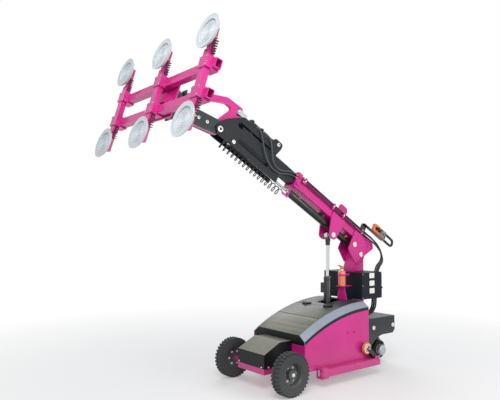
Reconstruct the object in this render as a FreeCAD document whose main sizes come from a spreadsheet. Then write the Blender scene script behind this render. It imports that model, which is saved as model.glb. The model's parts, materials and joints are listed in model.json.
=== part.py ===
# Glass panel lifter: a small drivable crane with a telescopic boom and a turning frame of suction cups.
# Millimetres. The machine faces -Y, its left side is +X and the floor is Z = 0.
# The chassis is drawn with Y counted from the front axle, the boom in a frame on its pivot and the
# suction head in a frame on the tilt pin; each sub-part is then placed from the sheet.
import FreeCAD, Part
import Sketcher
import math
import os
import re

os.makedirs("parts", exist_ok=True)
doc = FreeCAD.newDocument("GlassPanelLifter")
Vector = FreeCAD.Vector

SIZES = {
    "overall": {
        "front_axle_y": -335, "overrun": 20, "seat_gap": 0.3, "fit_gap": 0.05, "running_gap": 2,
    },
    "front wheels": {
        "tyre_diameter": 410, "tyre_width": 108, "tyre_shoulder": 26, "wheel_out": 53,
        "rim_diameter": 214, "rim_width": 92, "rim_wall": 7, "rim_web": 10, "rim_web_out": 8,
        "hub_diameter": 92, "hub_inner": 44, "hub_outer": 34, "axle_diameter": 26,
        "axle_root_diameter": 52, "axle_nut_diameter": 48, "axle_nut_depth": 15,
    },
    "chassis": {
        "panel_half": 393, "panel_wall": 10, "floor_z": 180, "floor_wall": 12, "wall_front_y": 239,
        "wall_rear_y": 1197, "wall": 12, "front_wall_top": 420, "rear_wall_top": 660, "platform_half": 200,
        "platform_front_y": -112, "bumper_bottom": 163, "bumper_top": 219, "bumper_half": 206,
        "bumper_wall": 6, "panel_bottom": 166, "tail_half": 120, "tail_bottom": 440, "tail_rear_y": 1780,
        "clevis_inner": 44, "clevis_wall": 12, "clevis_half": 132, "clevis_top": 452, "slot_half_y": 76,
        "slot_half_z": 62, "bolt_head": 22, "bolt_head_depth": 7, "panel_bolt_y": 866,
        "panel_bolt_step": 97, "panel_bolt_z": 477,
    },
    "hood": {
        "hood_inset": 72, "hood_front_top": 515, "hood_rear_top": 770, "hood_wall": 5,
        "hood_face_bottom": 424, "hood_seam_y": 800, "trim_drop": 55, "trim_wall": 8, "rail_drop": 24,
        "rail_wall": 8, "hood_slot_half": 80, "hood_slot_front_y": 880, "hood_slot_rear_y": 1104,
        "hinge_tube": 16, "nose_half": 206, "nose_front_y": -118, "nose_front_top": 354, "nose_bend_y": 83,
        "nose_bend_z": 451, "nose_rear_z": 449, "nose_wall": 3,
    },
    "rear fender and drive": {
        "fender_half": 280, "fender_wall": 8, "fender_top": 557, "fender_gap": 16, "fender_lip": 360,
        "fender_low": 250, "fender_step_y": 1560, "fender_corner": 38, "arch_y": 1603, "arch_z": 68,
        "arch_radius": 293, "cap_diameter": 48, "cap_depth": 9, "cap_front_y": 1414, "cap_rear_y": 1757,
        "cap_z": 451, "drive_diameter": 320, "drive_width": 130, "drive_tread": 36, "drive_y": 1668,
        "drive_gap": 9, "yoke_wall": 14, "yoke_depth": 120, "yoke_rise": 18, "kingpin_diameter": 60,
        "kingpin_flange": 130, "drive_axle": 40, "motor_diameter": 210, "motor_depth": 66,
        "brake_diameter": 124, "brake_depth": 56, "gear_diameter": 150, "gear_depth": 48,
    },
    "outriggers": {
        "arm_out": 47, "arm_half": 35, "arm_bottom": 108, "arm_height": 72, "arm_wall": 5,
        "arm_hinge_y": 440, "arm_end_y": 1200, "arm_eye": 70, "ear_wall": 15, "ear_half": 46,
        "ear_plate": 8, "hinge_pin": 30, "hinge_head": 46, "hinge_head_depth": 10, "castor_pin_y": 1250,
        "castor_pin_z": 178, "castor_pin": 20, "castor_back": 150, "castor_diameter": 120,
        "castor_width": 34, "castor_axle": 14, "cheek_wall": 8, "cheek_width": 44, "lug_wall": 9,
        "lug_height": 27, "lug_reach": 30, "castor_bolt": 8,
    },
    "mast and box": {
        "column_half": 65, "column_front_y": 1310, "column_rear_y": 1510, "column_wall": 10,
        "column_slope": 150, "pivot_y": 1448, "pivot_z": 1262, "pivot_boss": 170, "pivot_pin": 50,
        "boss_out": 4.7, "box_half": 285, "box_front_y": 1221, "box_rear_y": 1563, "box_bottom": 779,
        "box_top": 1070, "box_wall": 4, "sign_wide": 84, "sign_tall": 58, "sign_wall": 2, "sign_y": 1390,
        "sign_top_z": 1035, "sign_step": 84, "valve_wide": 150, "valve_deep": 90, "valve_tall": 120,
        "switch_z": 890, "switch_x": 240, "switch_base": 46, "switch_base_depth": 14, "switch_lever": 78,
        "switch_wide": 20, "switch_thick": 12, "hose_hole_x": 236, "hose_hole_y": 1520,
        "hose_hole_half": 37, "hose_hole_deep": 32,
    },
    "extinguisher": {
        "bottle_x": 101, "bottle_y": 1100, "bottle_bottom": 925, "bottle_height": 170,
        "bottle_diameter": 84, "bottle_crown": 26, "bottle_neck": 28, "bottle_neck_height": 14,
        "valve_head": 34, "valve_head_height": 30, "shelf_wall": 6, "shelf_half": 46, "post_top_half": 40,
        "post_low_half": 74, "post_wall": 8, "strap_wall": 4, "strap_height": 22, "strap_rise": 110,
        "strap_tie": 20, "lever_long": 74, "lever_wide": 18, "lever_thick": 6, "lever_pin": 6,
        "lever_rise": 20,
    },
    "inside": {
        "battery_wide": 300, "battery_deep": 205, "battery_tall": 190, "battery_gap": 12,
        "battery_front": 30, "tank_wide": 220, "tank_deep": 190, "tank_tall": 210, "tank_gap": 43,
        "pump_diameter": 110, "pump_long": 170, "weight_inner": 100, "weight_gap": 7,
        "weight_front_y": 1000, "weight_rear_y": 1170, "weight_tall": 400, "tank_front_y": 760,
    },
    "lift cylinder": {
        "lift_ahead": 515, "lift_above": -39, "lift_base_y": 960, "lift_base_z": 330, "lift_pin": 36,
        "lift_eye": 72, "lift_eye_half": 25, "lift_rod": 38, "lift_rod_end": 770, "lift_piston": 66,
        "lift_piston_long": 40, "lift_barrel": 84, "lift_bore": 68, "lift_top": 465, "lift_gland": 40,
        "lift_cap": 1072, "lift_barrel_end": 1112, "lift_base_eye": 72, "lift_base_half": 30,
        "lift_base_pin": 34, "lift_base_pin_half": 66, "check_valve_wide": 40, "check_valve_deep": 46,
        "check_valve_tall": 110, "check_valve_drop": 60,
    },
    "boom": {
        "boom_angle": 30.6, "boom_half": 70, "boom_low": 118, "boom_high": 268, "boom_wall": 8,
        "boom_rear": 40, "boom_front": 1288, "collar_long": 60, "collar_out": 10, "collar_boss": 34,
        "side_plate_wall": 12, "inner_half": 50, "inner_low": 133, "inner_high": 253, "inner_wall": 7,
        "inner_rear": 340, "inner_front": 2120, "pad_long": 50, "pad_inset": 3, "stage_ahead": 152,
        "stage_above": 46, "stage_pin": 36, "stage_eye": 70, "stage_eye_half": 30, "stage_barrel": 80,
        "stage_bore": 60, "stage_front": 1256, "stage_gland": 40, "stage_rod": 28, "stage_rod_inner": 880,
        "stage_piston": 58, "stage_piston_long": 30, "stage_tip": 2150, "stage_tip_eye": 58,
        "stage_tip_half": 22, "stage_tip_pin": 26, "cap_out": 7, "cap_wide": 58, "flag_rear": 300,
        "flag_front": 450, "flag_top": 430, "flag_wall": 8, "flag_corner": 40, "pipe_diameter": 16,
        "top_pipe_x": 24, "side_pipe_low": 212, "side_pipe_high": 250, "pipe_rear": 110,
        "pipe_front": 1215, "clamp_long": 24, "clamp_wall": 5, "barrel_clamp_long": 30,
        "barrel_clamp_ahead": 700, "lift_plate_rear": 415, "lift_plate_front": 640, "lift_plate_top": 190,
        "lift_plate_low": 84, "lift_plate_foot": 48, "lift_plate_wall": 14, "plate_low_share": 0.8,
        "plate_tail_share": 0.94, "plate_shoulder_share": 0.6, "plate_round_share": 0.9,
        "slot_round_share": 0.48,
    },
    "head": {
        "head_wall": 12, "head_rear": 1500, "head_low": 10, "head_top": 341, "head_rear_top": 100,
        "head_step": 1602, "head_neck": 1640, "head_neck_top": 250, "head_front_top": 2160,
        "head_front": 2330, "head_front_mid": 190, "head_corner": 70, "tilt_ahead": 2340, "tilt_above": 58,
        "tilt_pin": 40, "tilt_lug": 58, "window_rear": 1700, "window_front": 2190, "window_low": 210,
        "window_high": 268, "groove_rear": 1640, "groove_front": 2110, "groove_low": 74,
        "groove_high": 120, "tilt_barrel_above": 362, "tilt_rear_pin": 1666, "tilt_rear_eye": 62,
        "tilt_barrel": 76, "tilt_bore": 58, "tilt_bore_rear": 1715, "tilt_barrel_front": 2060,
        "tilt_rod": 30, "tilt_rod_inner": 1770, "tilt_rod_tip": 2222, "tilt_lug_wide": 54,
        "tilt_fork_back": 95, "tilt_fork_base": 20, "tilt_head_out": 8, "tilt_gland": 34,
        "tilt_pin_small": 24, "tilt_fork_inner": 21, "tilt_fork_wall": 12, "tilt_fork": 52,
        "tilt_piston": 56, "tilt_piston_long": 26, "tilt_base_half": 24, "tilt_seat_rear": 1990,
        "tilt_seat_long": 40, "anchor_wall": 7, "anchor_long": 20, "anchor_tall": 22, "port_rear": 1900,
        "port_step": 140, "port_long": 30, "port_in": 6, "port_tall": 40,
    },
    "tilting bracket": {
        "tilt_angle": 17.1, "cheek_outer": 48, "cheek_low": 70, "cheek_high": 84, "cheek_rear": 52,
        "cheek_front": 470, "nose_plate": 14, "nose_plate_half": 130, "arm_plate_half": 20, "arm_band": 66,
        "lug_ahead": -185, "lug_above": 266, "lug_slot_half_y": 25, "lug_slot_half_z": 37, "lug_round": 56,
        "arc_top_ahead": -20, "arc_top_above": 352, "arc_front_above": 120, "arc_mid_ahead": 270,
        "arc_mid_above": 268, "bracket_bolt": 30, "bracket_bolt_depth": 8, "bracket_bolt_ahead": 150,
        "bracket_bolt_step": 100, "bracket_bolt_above": 10, "arm_edge": 10, "arm_corner": 30,
        "window_corner": 14,
    },
    "suction frame": {
        "frame_ahead": 759, "frame_above": 31, "column_step": 731, "row_step": 382, "cup_diameter": 300,
        "lip_depth": 26, "cup_plate_diameter": 250, "cup_plate_wall": 10, "cup_neck": 44,
        "cup_neck_long": 16, "arm_deep": 50, "arm_wide": 84, "arm_half_long": 250, "tip_wide": 56,
        "tip_deep": 40, "tip_out": 60, "beam_deep": 60, "beam_tall": 80, "beam_wall": 6,
        "beam_offset": 130, "beam_half_long": 830, "block_wide": 120, "block_tall": 104, "block_wall": 8,
        "slew_diameter": 280, "slew_depth": 70, "turn_diameter": 240, "spindle_diameter": 96,
        "spindle_long": 50, "hub_plate_half": 190, "hub_plate_wall": 14, "slew_motor": 84,
        "slew_motor_long": 150, "tip_inset": 60, "cup_fitting": 18, "cup_fitting_back": 46,
        "lip_bore": 214, "manifold_wide": 120, "manifold_tall": 90, "manifold_deep": 40,
    },
    "hoses": {
        "spiral_tube": 10, "spiral_coil": 74, "spiral_rear": 1360, "spiral_front": 2240, "cup_coil": 34,
        "cup_tube": 7, "cup_coil_end": 322, "head_hose": 12, "bundle_hose": 18, "box_hose": 20,
        "box_step": 26,
    },
    "remote control": {
        "remote_x": 40, "remote_thick": 56, "remote_front": -50, "remote_rear": -290, "remote_low": 342,
        "remote_high": 452, "panel_rear": -275, "panel_front": -165, "panel_inset": 12,
        "panel_wall_out": 6, "handle_tube": 26, "handle_reach": 125, "handle_half": 40, "stick_stem": 9,
        "stick_long": 30, "stick_cup": 46, "stick_cup_out": 9, "stick_cup_bore": 30, "stick_front": -85,
        "stick_rear": -137, "stick_ball": 12, "stick_knob": 22, "stop_diameter": 28, "stop_head": 8,
        "stop_rise": 6, "stop_travel": 4, "stop_ahead": -222, "stop_stem": 18, "remote_corner": 22,
        "cradle_wall": 6, "cradle_rear": -270, "cradle_post_front": 130, "cradle_post_rear": 60,
        "cradle_post_x": 44,
    },
}
SPIRAL_CURLS = 16
CUP_CURLS = 6

sheet = doc.addObject("Spreadsheet::Sheet", "Sizes")
row = 1
for heading, values in SIZES.items():
    sheet.set(f"A{row}", heading)
    row += 1
    for alias, value in values.items():
        sheet.set(f"A{row}", alias)
        sheet.set(f"B{row}", str(value))
        sheet.setAlias(f"B{row}", alias)
        row += 1
doc.recompute()

FUNCTION_WORDS = ("cos", "sin", "atan", "sqrt")
nodes = []


def sized(text):
    """The expression with every size name pointed at the sheet."""
    def name(match):
        word = match.group(0)
        return word if word in FUNCTION_WORDS else "Sizes." + word
    return re.sub(r"[A-Za-z_]\w*", name, text)


def number(alias):
    return float(getattr(sheet, alias))


def bind(item, prop, text):
    if text != "0":
        item.setExpression(prop, sized(text))


def seat(item, x="0", y="0", z="0"):
    bind(item, "Placement.Base.x", x)
    bind(item, "Placement.Base.y", y)
    bind(item, "Placement.Base.z", z)
    return item


TURN_TO = {
    "X": FreeCAD.Rotation(Vector(0, 1, 0), 90),
    "Y": FreeCAD.Rotation(Vector(1, 0, 0), -90),
    "Z": FreeCAD.Rotation(),
}


def box(x0, x1, y0, y1, z0, z1):
    item = doc.addObject("Part::Box", "Block")
    bind(item, "Length", f"({x1}) - ({x0})")
    bind(item, "Width", f"({y1}) - ({y0})")
    bind(item, "Height", f"({z1}) - ({z0})")
    return seat(item, x0, y0, z0)


def rod(axis, diameter, low, high, first="0", second="0"):
    """A round bar from low to high on an axis; first and second place it on the other two axes in order."""
    item = doc.addObject("Part::Cylinder", "Bar")
    item.Placement = FreeCAD.Placement(Vector(), TURN_TO[axis])
    bind(item, "Radius", f"({diameter}) / 2")
    bind(item, "Height", f"({high}) - ({low})")
    places = {"X": (low, first, second), "Y": (first, low, second), "Z": (first, second, low)}
    return seat(item, *places[axis])


def fuse(*items):
    result = doc.addObject("Part::MultiFuse", "Joined")
    result.Shapes = list(items)
    result.Refine = True
    return result


def cut(base, *tools):
    result = doc.addObject("Part::Cut", "Cut")
    result.Base = base
    result.Tool = tools[0] if len(tools) == 1 else fuse(*tools)
    return result


def common(first, second):
    result = doc.addObject("Part::Common", "Shared")
    result.Base = first
    result.Tool = second
    return result


def tube(axis, outer, inner, low, high, first="0", second="0"):
    return cut(rod(axis, outer, low, high, first, second),
               rod(axis, inner, f"({low}) - overrun", f"({high}) + overrun", first, second))


def mirrored(item):
    """The same piece on the other side of the machine."""
    result = doc.addObject("Part::Mirroring", "Mirrored")
    result.Source = item
    result.Normal = Vector(1, 0, 0)
    return result


def sketch_on(body, role, points):
    """A closed outline of straight lines, each corner tied to the sheet by its two distances."""
    sketch = body.newObject("Sketcher::SketchObject", "Outline")
    plane = [o for o in body.Origin.OriginFeatures if getattr(o, "Role", "") == role][0]
    sketch.AttachmentSupport = [(plane, "")]
    sketch.MapMode = "FlatFace"
    count = len(points)
    turn = 2 * math.pi / count
    corners = [Vector(math.cos(i * turn), math.sin(i * turn), 0) for i in range(count)]
    for i in range(count):
        sketch.addGeometry(Part.LineSegment(corners[i], corners[(i + 1) % count]))
    for i in range(count):
        sketch.addConstraint(Sketcher.Constraint("Coincident", i, 2, (i + 1) % count, 1))
    for i, corner in enumerate(points):
        for kind, text, start in zip(("DistanceX", "DistanceY"), corner, corners[i]):
            value = 0.0 if text == "0" else start
            index = sketch.addConstraint(Sketcher.Constraint(kind, -1, 1, i, 1, value))
            bind(sketch, f"Constraints[{index}]", text)
    return sketch


def plate(x0, x1, points, rounds=()):
    """A plate between two X planes with an outline of (y, z) corners; rounds lists (radius, corner numbers)."""
    body = doc.addObject("PartDesign::Body", "Plate")
    sketch = sketch_on(body, "YZ_Plane", points)
    pad = body.newObject("PartDesign::Pad", "Pad")
    pad.Profile = sketch
    bind(pad, "Length", f"({x1}) - ({x0})")
    doc.recompute()
    for radius, numbers in rounds:
        wanted = [sketch.Geometry[n].StartPoint for n in numbers]
        base = body.Tip
        names = []
        for index, edge in enumerate(base.Shape.Edges):
            ends = [v.Point for v in edge.Vertexes]
            across = len(ends) == 2 and abs(ends[0].y - ends[1].y) + abs(ends[0].z - ends[1].z) < 1e-6
            if across and any(math.hypot(ends[0].y - p.x, ends[0].z - p.y) < 1e-6 for p in wanted):
                names.append(f"Edge{index + 1}")
        fillet = body.newObject("PartDesign::Fillet", "Round")
        fillet.Base = (base, names)
        bind(fillet, "Radius", radius)
        doc.recompute()
    return seat(body, x0)


def turned(axis, points, x="0", y="0", z="0"):
    """A turned piece: (along, radius) corners spun round the axis."""
    body = doc.addObject("PartDesign::Body", "Turned")
    sketch = sketch_on(body, "XY_Plane", points)
    spin = body.newObject("PartDesign::Revolution", "Spin")
    spin.Profile = sketch
    spin.ReferenceAxis = (sketch, ["H_Axis"])
    spin.Angle = 360
    turns = {
        "X": FreeCAD.Rotation(),
        "Y": FreeCAD.Rotation(Vector(0, 0, 1), 90),
        "Z": FreeCAD.Rotation(Vector(0, 1, 0), -90),
    }
    body.Placement = FreeCAD.Placement(Vector(), turns[axis])
    return seat(body, x, y, z)


def ahead(points):
    """Corners given as (distance ahead, distance above) in a frame that looks along -Y."""
    return [(f"-({along})", above) for along, above in points]


def ahead_box(x0, x1, rear, front, low, high):
    return box(x0, x1, f"-({front})", f"-({rear})", low, high)


def ahead_rod(diameter, rear, front, x="0", above="0"):
    return rod("Y", diameter, f"-({front})", f"-({rear})", x, above)


def cross_rod(diameter, x0, x1, along, above):
    return rod("X", diameter, x0, x1, f"-({along})", above)


MAST_FRAME = ("0", "front_axle_y", "0", None)
BOOM_FRAME = ("0", "front_axle_y + pivot_y", "pivot_z", "-boom_angle")


def on_boom(along, above):
    """Where a point of the boom frame lies on the machine, as a Y and a Z expression."""
    y = f"pivot_y - ({along}) * cos(boom_angle) + ({above}) * sin(boom_angle)"
    z = f"pivot_z + ({along}) * sin(boom_angle) + ({above}) * cos(boom_angle)"
    return y, z


lift_y, lift_z = on_boom("lift_ahead", "lift_above")
tilt_y, tilt_z = on_boom("tilt_ahead", "tilt_above")
LIFT_FRAME = ("0", f"front_axle_y + {lift_y}", lift_z,
              f"-atan(({lift_y} - lift_base_y) / ({lift_z} - lift_base_z))")
TILT_FRAME = ("0", f"front_axle_y + {tilt_y}", tilt_z, "-tilt_angle")


def node(label, frame, *items):
    """One named sub-part, placed in the machine by its frame."""
    x, y, z, angle = frame
    result = doc.addObject("Part::Compound", label)
    result.Label = label
    result.Links = list(items)
    result.Placement = FreeCAD.Placement(Vector(), FreeCAD.Rotation(Vector(1, 0, 0), 1))
    bind(result, "Placement.Rotation.Angle", angle or "0 * boom_angle")
    seat(result, x, y, z)
    nodes.append(result)
    return result


def solid_piece(shape):
    """A piece whose shape is worked out here, for forms that primitives and sketches do not fit."""
    item = doc.addObject("Part::Feature", "Formed")
    item.Shape = shape
    return item


# Front wheels: pneumatic tyres on pressed rims that turn on fixed stub axles.
WHEEL_Z = "tyre_diameter / 2"
TRACK = "(panel_half + wheel_out)"


def front_wheel(side, sign):
    centre = f"{sign} * {TRACK}"
    tyre = turned("X", [
        ("-tyre_width / 2 + tyre_shoulder", "tyre_diameter / 2"),
        ("tyre_width / 2 - tyre_shoulder", "tyre_diameter / 2"),
        ("tyre_width / 2", "tyre_diameter / 2 - tyre_shoulder"),
        ("tyre_width / 2", "rim_diameter / 2 + tyre_shoulder"),
        ("rim_width / 2", "rim_diameter / 2"),
        ("-rim_width / 2", "rim_diameter / 2"),
        ("-tyre_width / 2", "rim_diameter / 2 + tyre_shoulder"),
        ("-tyre_width / 2", "tyre_diameter / 2 - tyre_shoulder"),
    ], centre, "0", WHEEL_Z)
    node(f"front_tyre_{side}", MAST_FRAME, tyre)
    outward = f"{centre} + {sign} * "
    barrel = tube("X", "rim_diameter", "rim_diameter - 2 * rim_wall",
                  f"{centre} - rim_width / 2", f"{centre} + rim_width / 2", "0", WHEEL_Z)
    web = rod("X", "rim_diameter - rim_wall", f"{outward}rim_web_out - rim_web / 2",
              f"{outward}rim_web_out + rim_web / 2", "0", WHEEL_Z)
    low, high = ("hub_inner", "hub_outer") if sign > 0 else ("hub_outer", "hub_inner")
    hub = rod("X", "hub_diameter", f"{centre} - {low}", f"{centre} + {high}", "0", WHEEL_Z)
    bore = rod("X", "axle_diameter + 2 * fit_gap", f"{centre} - {low} - overrun",
               f"{centre} + {high} + overrun", "0", WHEEL_Z)
    node(f"front_rim_{side}", MAST_FRAME, cut(fuse(barrel, web, hub), bore))


front_wheel("left", 1)
front_wheel("right", -1)
NUT_START = f"{TRACK} + hub_outer + seat_gap"
axle_nut = rod("X", "axle_nut_diameter", NUT_START, f"{NUT_START} + axle_nut_depth", "0", WHEEL_Z)
fasteners = [axle_nut, mirrored(axle_nut)]


# Chassis: a welded tray with the front platform, the axle, the tail beam and the lift cylinder's clevis.
PANEL_INNER = "panel_half - panel_wall"
FLOOR_TOP = "floor_z + floor_wall"
TAIL_TOP = "fender_top - fender_wall"
floor = box(f"-({PANEL_INNER})", PANEL_INNER, "wall_front_y", "wall_rear_y", "floor_z", FLOOR_TOP)
front_wall = box(f"-({PANEL_INNER})", PANEL_INNER, "wall_front_y", "wall_front_y + wall", "floor_z",
                 "front_wall_top")
rear_wall = box(f"-({PANEL_INNER})", PANEL_INNER, "wall_rear_y - wall", "wall_rear_y", "floor_z",
                "rear_wall_top")
platform = box("-platform_half", "platform_half", "platform_front_y", "wall_front_y + wall",
               "bumper_bottom", "bumper_bottom + wall")
platform_left = box("platform_half - wall", "platform_half", "platform_front_y", "wall_front_y + wall",
                    "bumper_bottom", "bumper_top")
bumper = box("-bumper_half", "bumper_half", "platform_front_y - bumper_wall", "platform_front_y",
             "bumper_bottom", "bumper_top")
sill = box("-platform_half", "platform_half", "wall_front_y", "wall_front_y + wall", "bumper_bottom", "floor_z")
AXLE_ROOT = f"{TRACK} - hub_inner - running_gap"
stub = rod("X", "axle_diameter", "platform_half - wall", NUT_START, "0", WHEEL_Z)
stub_root = rod("X", "axle_root_diameter", "bumper_half + running_gap", AXLE_ROOT, "0", WHEEL_Z)
tail = box("-tail_half", "tail_half", "wall_rear_y - wall", "tail_rear_y", "tail_bottom", TAIL_TOP)
kingpin_bore = rod("Z", "kingpin_diameter + 2 * fit_gap", "tail_bottom - overrun", "fender_top", "0", "drive_y")
clevis = box("clevis_inner", "clevis_inner + clevis_wall", "lift_base_y - clevis_half",
             "lift_base_y + clevis_half", "floor_z", "clevis_top")
clevis_slot = box("clevis_inner - overrun", "clevis_inner + clevis_wall + overrun",
                  "lift_base_y - slot_half_y", "lift_base_y + slot_half_y",
                  "lift_base_z - slot_half_z", "lift_base_z + slot_half_z")
clevis_left = cut(clevis, clevis_slot)
frame_parts = [floor, front_wall, rear_wall, platform, platform_left, mirrored(platform_left), bumper, sill,
               stub, mirrored(stub), stub_root, mirrored(stub_root), tail, clevis_left, mirrored(clevis_left)]
node("chassis_frame", MAST_FRAME, cut(fuse(*frame_parts), kingpin_bore))

# Hood: one arc, level at the rear, carries the hood sheets, the bright trims, the rails and the side panels.
HOOD_LONG = "(wall_rear_y - wall_front_y)"
HOOD_HALF = "(panel_half - hood_inset)"
HOOD_FALL = "(hood_rear_top - hood_front_top)"
HOOD_RADIUS = f"(({HOOD_LONG} ^ 2 + {HOOD_FALL} ^ 2) / (2 * {HOOD_FALL}))"


def hood_arc(x0, x1, drop):
    """Everything below the hood's arc, lowered by drop."""
    return rod("X", f"2 * {HOOD_RADIUS}", x0, x1, "wall_rear_y", f"hood_rear_top - {HOOD_RADIUS} - ({drop})")


def hood_sheet(half, front, rear):
    skin = cut(hood_arc(f"-({half})", half, "0"),
               hood_arc(f"-({half}) - overrun", f"{half} + overrun", "hood_wall"))
    return common(box(f"-({half})", half, front, rear, "hood_face_bottom", "hood_rear_top + overrun"), skin)


SEAM_Z = f"(hood_rear_top - {HOOD_RADIUS} + sqrt({HOOD_RADIUS} ^ 2 - (wall_rear_y - hood_seam_y) ^ 2))"
HOOD_FREE = f"{HOOD_HALF} - running_gap"
KNUCKLE_Z = f"{SEAM_Z} + hinge_tube / 2 + seat_gap + hood_wall / 4"
hood_face = box(f"-({HOOD_FREE})", HOOD_FREE, "wall_front_y", "wall_front_y + hood_wall", "hood_face_bottom",
                "hood_front_top")
hood_front_sheet = hood_sheet(HOOD_FREE, "wall_front_y", "hood_seam_y - running_gap")
HINGE_X = f"{HOOD_HALF} / 2"
KNUCKLE_HALF = "2 * hinge_tube"
KNUCKLE = (f"{HINGE_X} - {KNUCKLE_HALF}", f"{HINGE_X} + {KNUCKLE_HALF}")
knuckle = rod("X", "hinge_tube", *KNUCKLE, "hood_seam_y", KNUCKLE_Z)
leaf = box(*KNUCKLE,
           "hood_seam_y - 2 * hinge_tube", "hood_seam_y", f"{SEAM_Z} - hinge_tube / 2", KNUCKLE_Z)
leaf_room = hood_arc("0", HOOD_HALF, "hood_wall")
knuckle_bore = rod("X", "hinge_tube / 2 + 2 * fit_gap", "0", HOOD_HALF, "hood_seam_y", KNUCKLE_Z)
leaf_rear = box("0", HOOD_HALF, "hood_seam_y - running_gap", "hood_seam_y + hinge_tube",
                f"{SEAM_Z} - hood_wall - hinge_tube", f"{SEAM_Z} - hood_wall / 2")
front_leaf = cut(fuse(knuckle, leaf), leaf_room, knuckle_bore, leaf_rear)
node("front_hood", MAST_FRAME, fuse(hood_front_sheet, hood_face, front_leaf, mirrored(front_leaf)))

hinge_pin = rod("X", "hinge_tube / 2", f"{HINGE_X} - 2 * {KNUCKLE_HALF}", f"{HINGE_X} + 2 * {KNUCKLE_HALF}",
                "hood_seam_y", KNUCKLE_Z)


def hinge_ear(start):
    """A block on the rear hood that holds one end of a hood hinge pin."""
    block = box(start, f"{start} + hinge_tube", "hood_seam_y", "hood_seam_y + 2 * hinge_tube",
                f"{SEAM_Z} - hinge_tube / 2", f"{KNUCKLE_Z} + hinge_tube / 2")
    return fuse(block, rod("X", "hinge_tube", start, f"{start} + hinge_tube", "hood_seam_y", KNUCKLE_Z))


EAR_IN = f"{HINGE_X} - {KNUCKLE_HALF} - running_gap - hinge_tube"
EAR_OUT = f"{HINGE_X} + {KNUCKLE_HALF} + running_gap"
ear_room = cut(hood_arc("0", HOOD_HALF, "0"),
               box("0", HOOD_HALF, "wall_rear_y", "wall_rear_y + overrun", "0", "hood_rear_top"))
hinge_half = cut(fuse(hinge_pin, hinge_ear(EAR_IN), hinge_ear(EAR_OUT)), ear_room)

lift_hole = box("-hood_slot_half", "hood_slot_half", "hood_slot_front_y", "hood_slot_rear_y",
                "hood_face_bottom", "hood_rear_top + overrun")
rear_face = box(f"-{HOOD_HALF}", HOOD_HALF, "wall_rear_y - hood_wall", "wall_rear_y", "rear_wall_top",
                "hood_rear_top - hood_wall")
rear_sheet = cut(fuse(hood_sheet(HOOD_HALF, "hood_seam_y", "wall_rear_y"), rear_face), lift_hole)
node("rear_hood", MAST_FRAME, rear_sheet, hinge_half, mirrored(hinge_half))

RAIL_TOP = "trim_drop + trim_wall"
PANEL_TOP = f"{RAIL_TOP} + rail_drop"


def hood_trim(sign):
    """A sloping bright strip: the hood's arc swept outwards and down."""
    radius = ((number("wall_rear_y") - number("wall_front_y")) ** 2
              + (number("hood_rear_top") - number("hood_front_top")) ** 2)
    radius /= 2 * (number("hood_rear_top") - number("hood_front_top"))
    centre_z = number("hood_rear_top") - radius
    x = sign * (number("panel_half") - number("hood_inset"))

    def at(y, drop):
        rise = math.sqrt(radius ** 2 - (number("wall_rear_y") - y) ** 2)
        return Vector(x, y, centre_z + rise - drop)

    front, rear = number("wall_front_y"), number("wall_rear_y")
    middle = (front + rear) / 2
    deep = number("trim_wall")
    top = Part.Arc(at(front, 0), at(middle, 0), at(rear, 0)).toShape()
    low = Part.Arc(at(rear, deep), at(middle, deep), at(front, deep)).toShape()
    ends = [Part.makeLine(at(rear, 0), at(rear, deep)), Part.makeLine(at(front, deep), at(front, 0))]
    outline = Part.Wire([top, ends[0], low, ends[1]])
    reach = Vector(sign * number("hood_inset"), 0, -number("trim_drop"))
    return solid_piece(Part.Face(outline).extrude(reach))


rail_skin = cut(hood_arc("panel_half - rail_wall", "panel_half", RAIL_TOP),
                hood_arc("panel_half - rail_wall - overrun", "panel_half + overrun", PANEL_TOP))
rail = common(box("panel_half - rail_wall", "panel_half", "wall_front_y", "wall_rear_y", "floor_z",
                  "hood_rear_top"), rail_skin)
node("hood_trims", MAST_FRAME, hood_trim(1), hood_trim(-1), rail, mirrored(rail))
panel = common(box(PANEL_INNER, "panel_half", "wall_front_y", "wall_rear_y", "panel_bottom", "hood_rear_top"),
               hood_arc(PANEL_INNER, "panel_half", PANEL_TOP))
node("side_panels", MAST_FRAME, panel, mirrored(panel))

nose_outer = plate("-nose_half", "nose_half", [
    ("nose_front_y", "bumper_top"), ("wall_front_y", "bumper_top"), ("wall_front_y", "nose_rear_z"),
    ("nose_bend_y", "nose_bend_z"), ("nose_front_y", "nose_front_top")])
nose_inner = plate("-(nose_half - nose_wall)", "nose_half - nose_wall", [
    ("nose_front_y + nose_wall", "bumper_top - overrun"), ("wall_front_y + overrun", "bumper_top - overrun"),
    ("wall_front_y + overrun", "nose_rear_z - nose_wall"), ("nose_bend_y", "nose_bend_z - nose_wall"),
    ("nose_front_y + nose_wall", "nose_front_top - nose_wall")])
node("nose_cover", MAST_FRAME, cut(nose_outer, nose_inner))

# Rear fender over the drive wheel, with its bright bolt caps.
FENDER_REAR = "(tail_rear_y + fender_gap)"
cheek = plate("fender_half - fender_wall", "fender_half", [
    ("wall_rear_y", "fender_low"), ("fender_step_y", "fender_low"), ("fender_step_y", "fender_lip"),
    (f"{FENDER_REAR} - fender_corner", "fender_lip"), (FENDER_REAR, "fender_lip + fender_corner"),
    (FENDER_REAR, "fender_top"), ("wall_rear_y", "fender_top")])
arch = rod("X", "2 * arch_radius", "fender_half - fender_wall - overrun", "fender_half + overrun", "arch_y",
           "arch_z")
cheek_left = cut(cheek, arch)
FENDER_INNER = "fender_half - fender_wall"
fender_roof = box(f"-({FENDER_INNER})", FENDER_INNER, "wall_rear_y", FENDER_REAR, TAIL_TOP, "fender_top")
fender_back = box(f"-({FENDER_INNER})", FENDER_INNER, f"{FENDER_REAR} - fender_wall", FENDER_REAR,
                  "fender_lip + fender_corner", TAIL_TOP)
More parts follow.
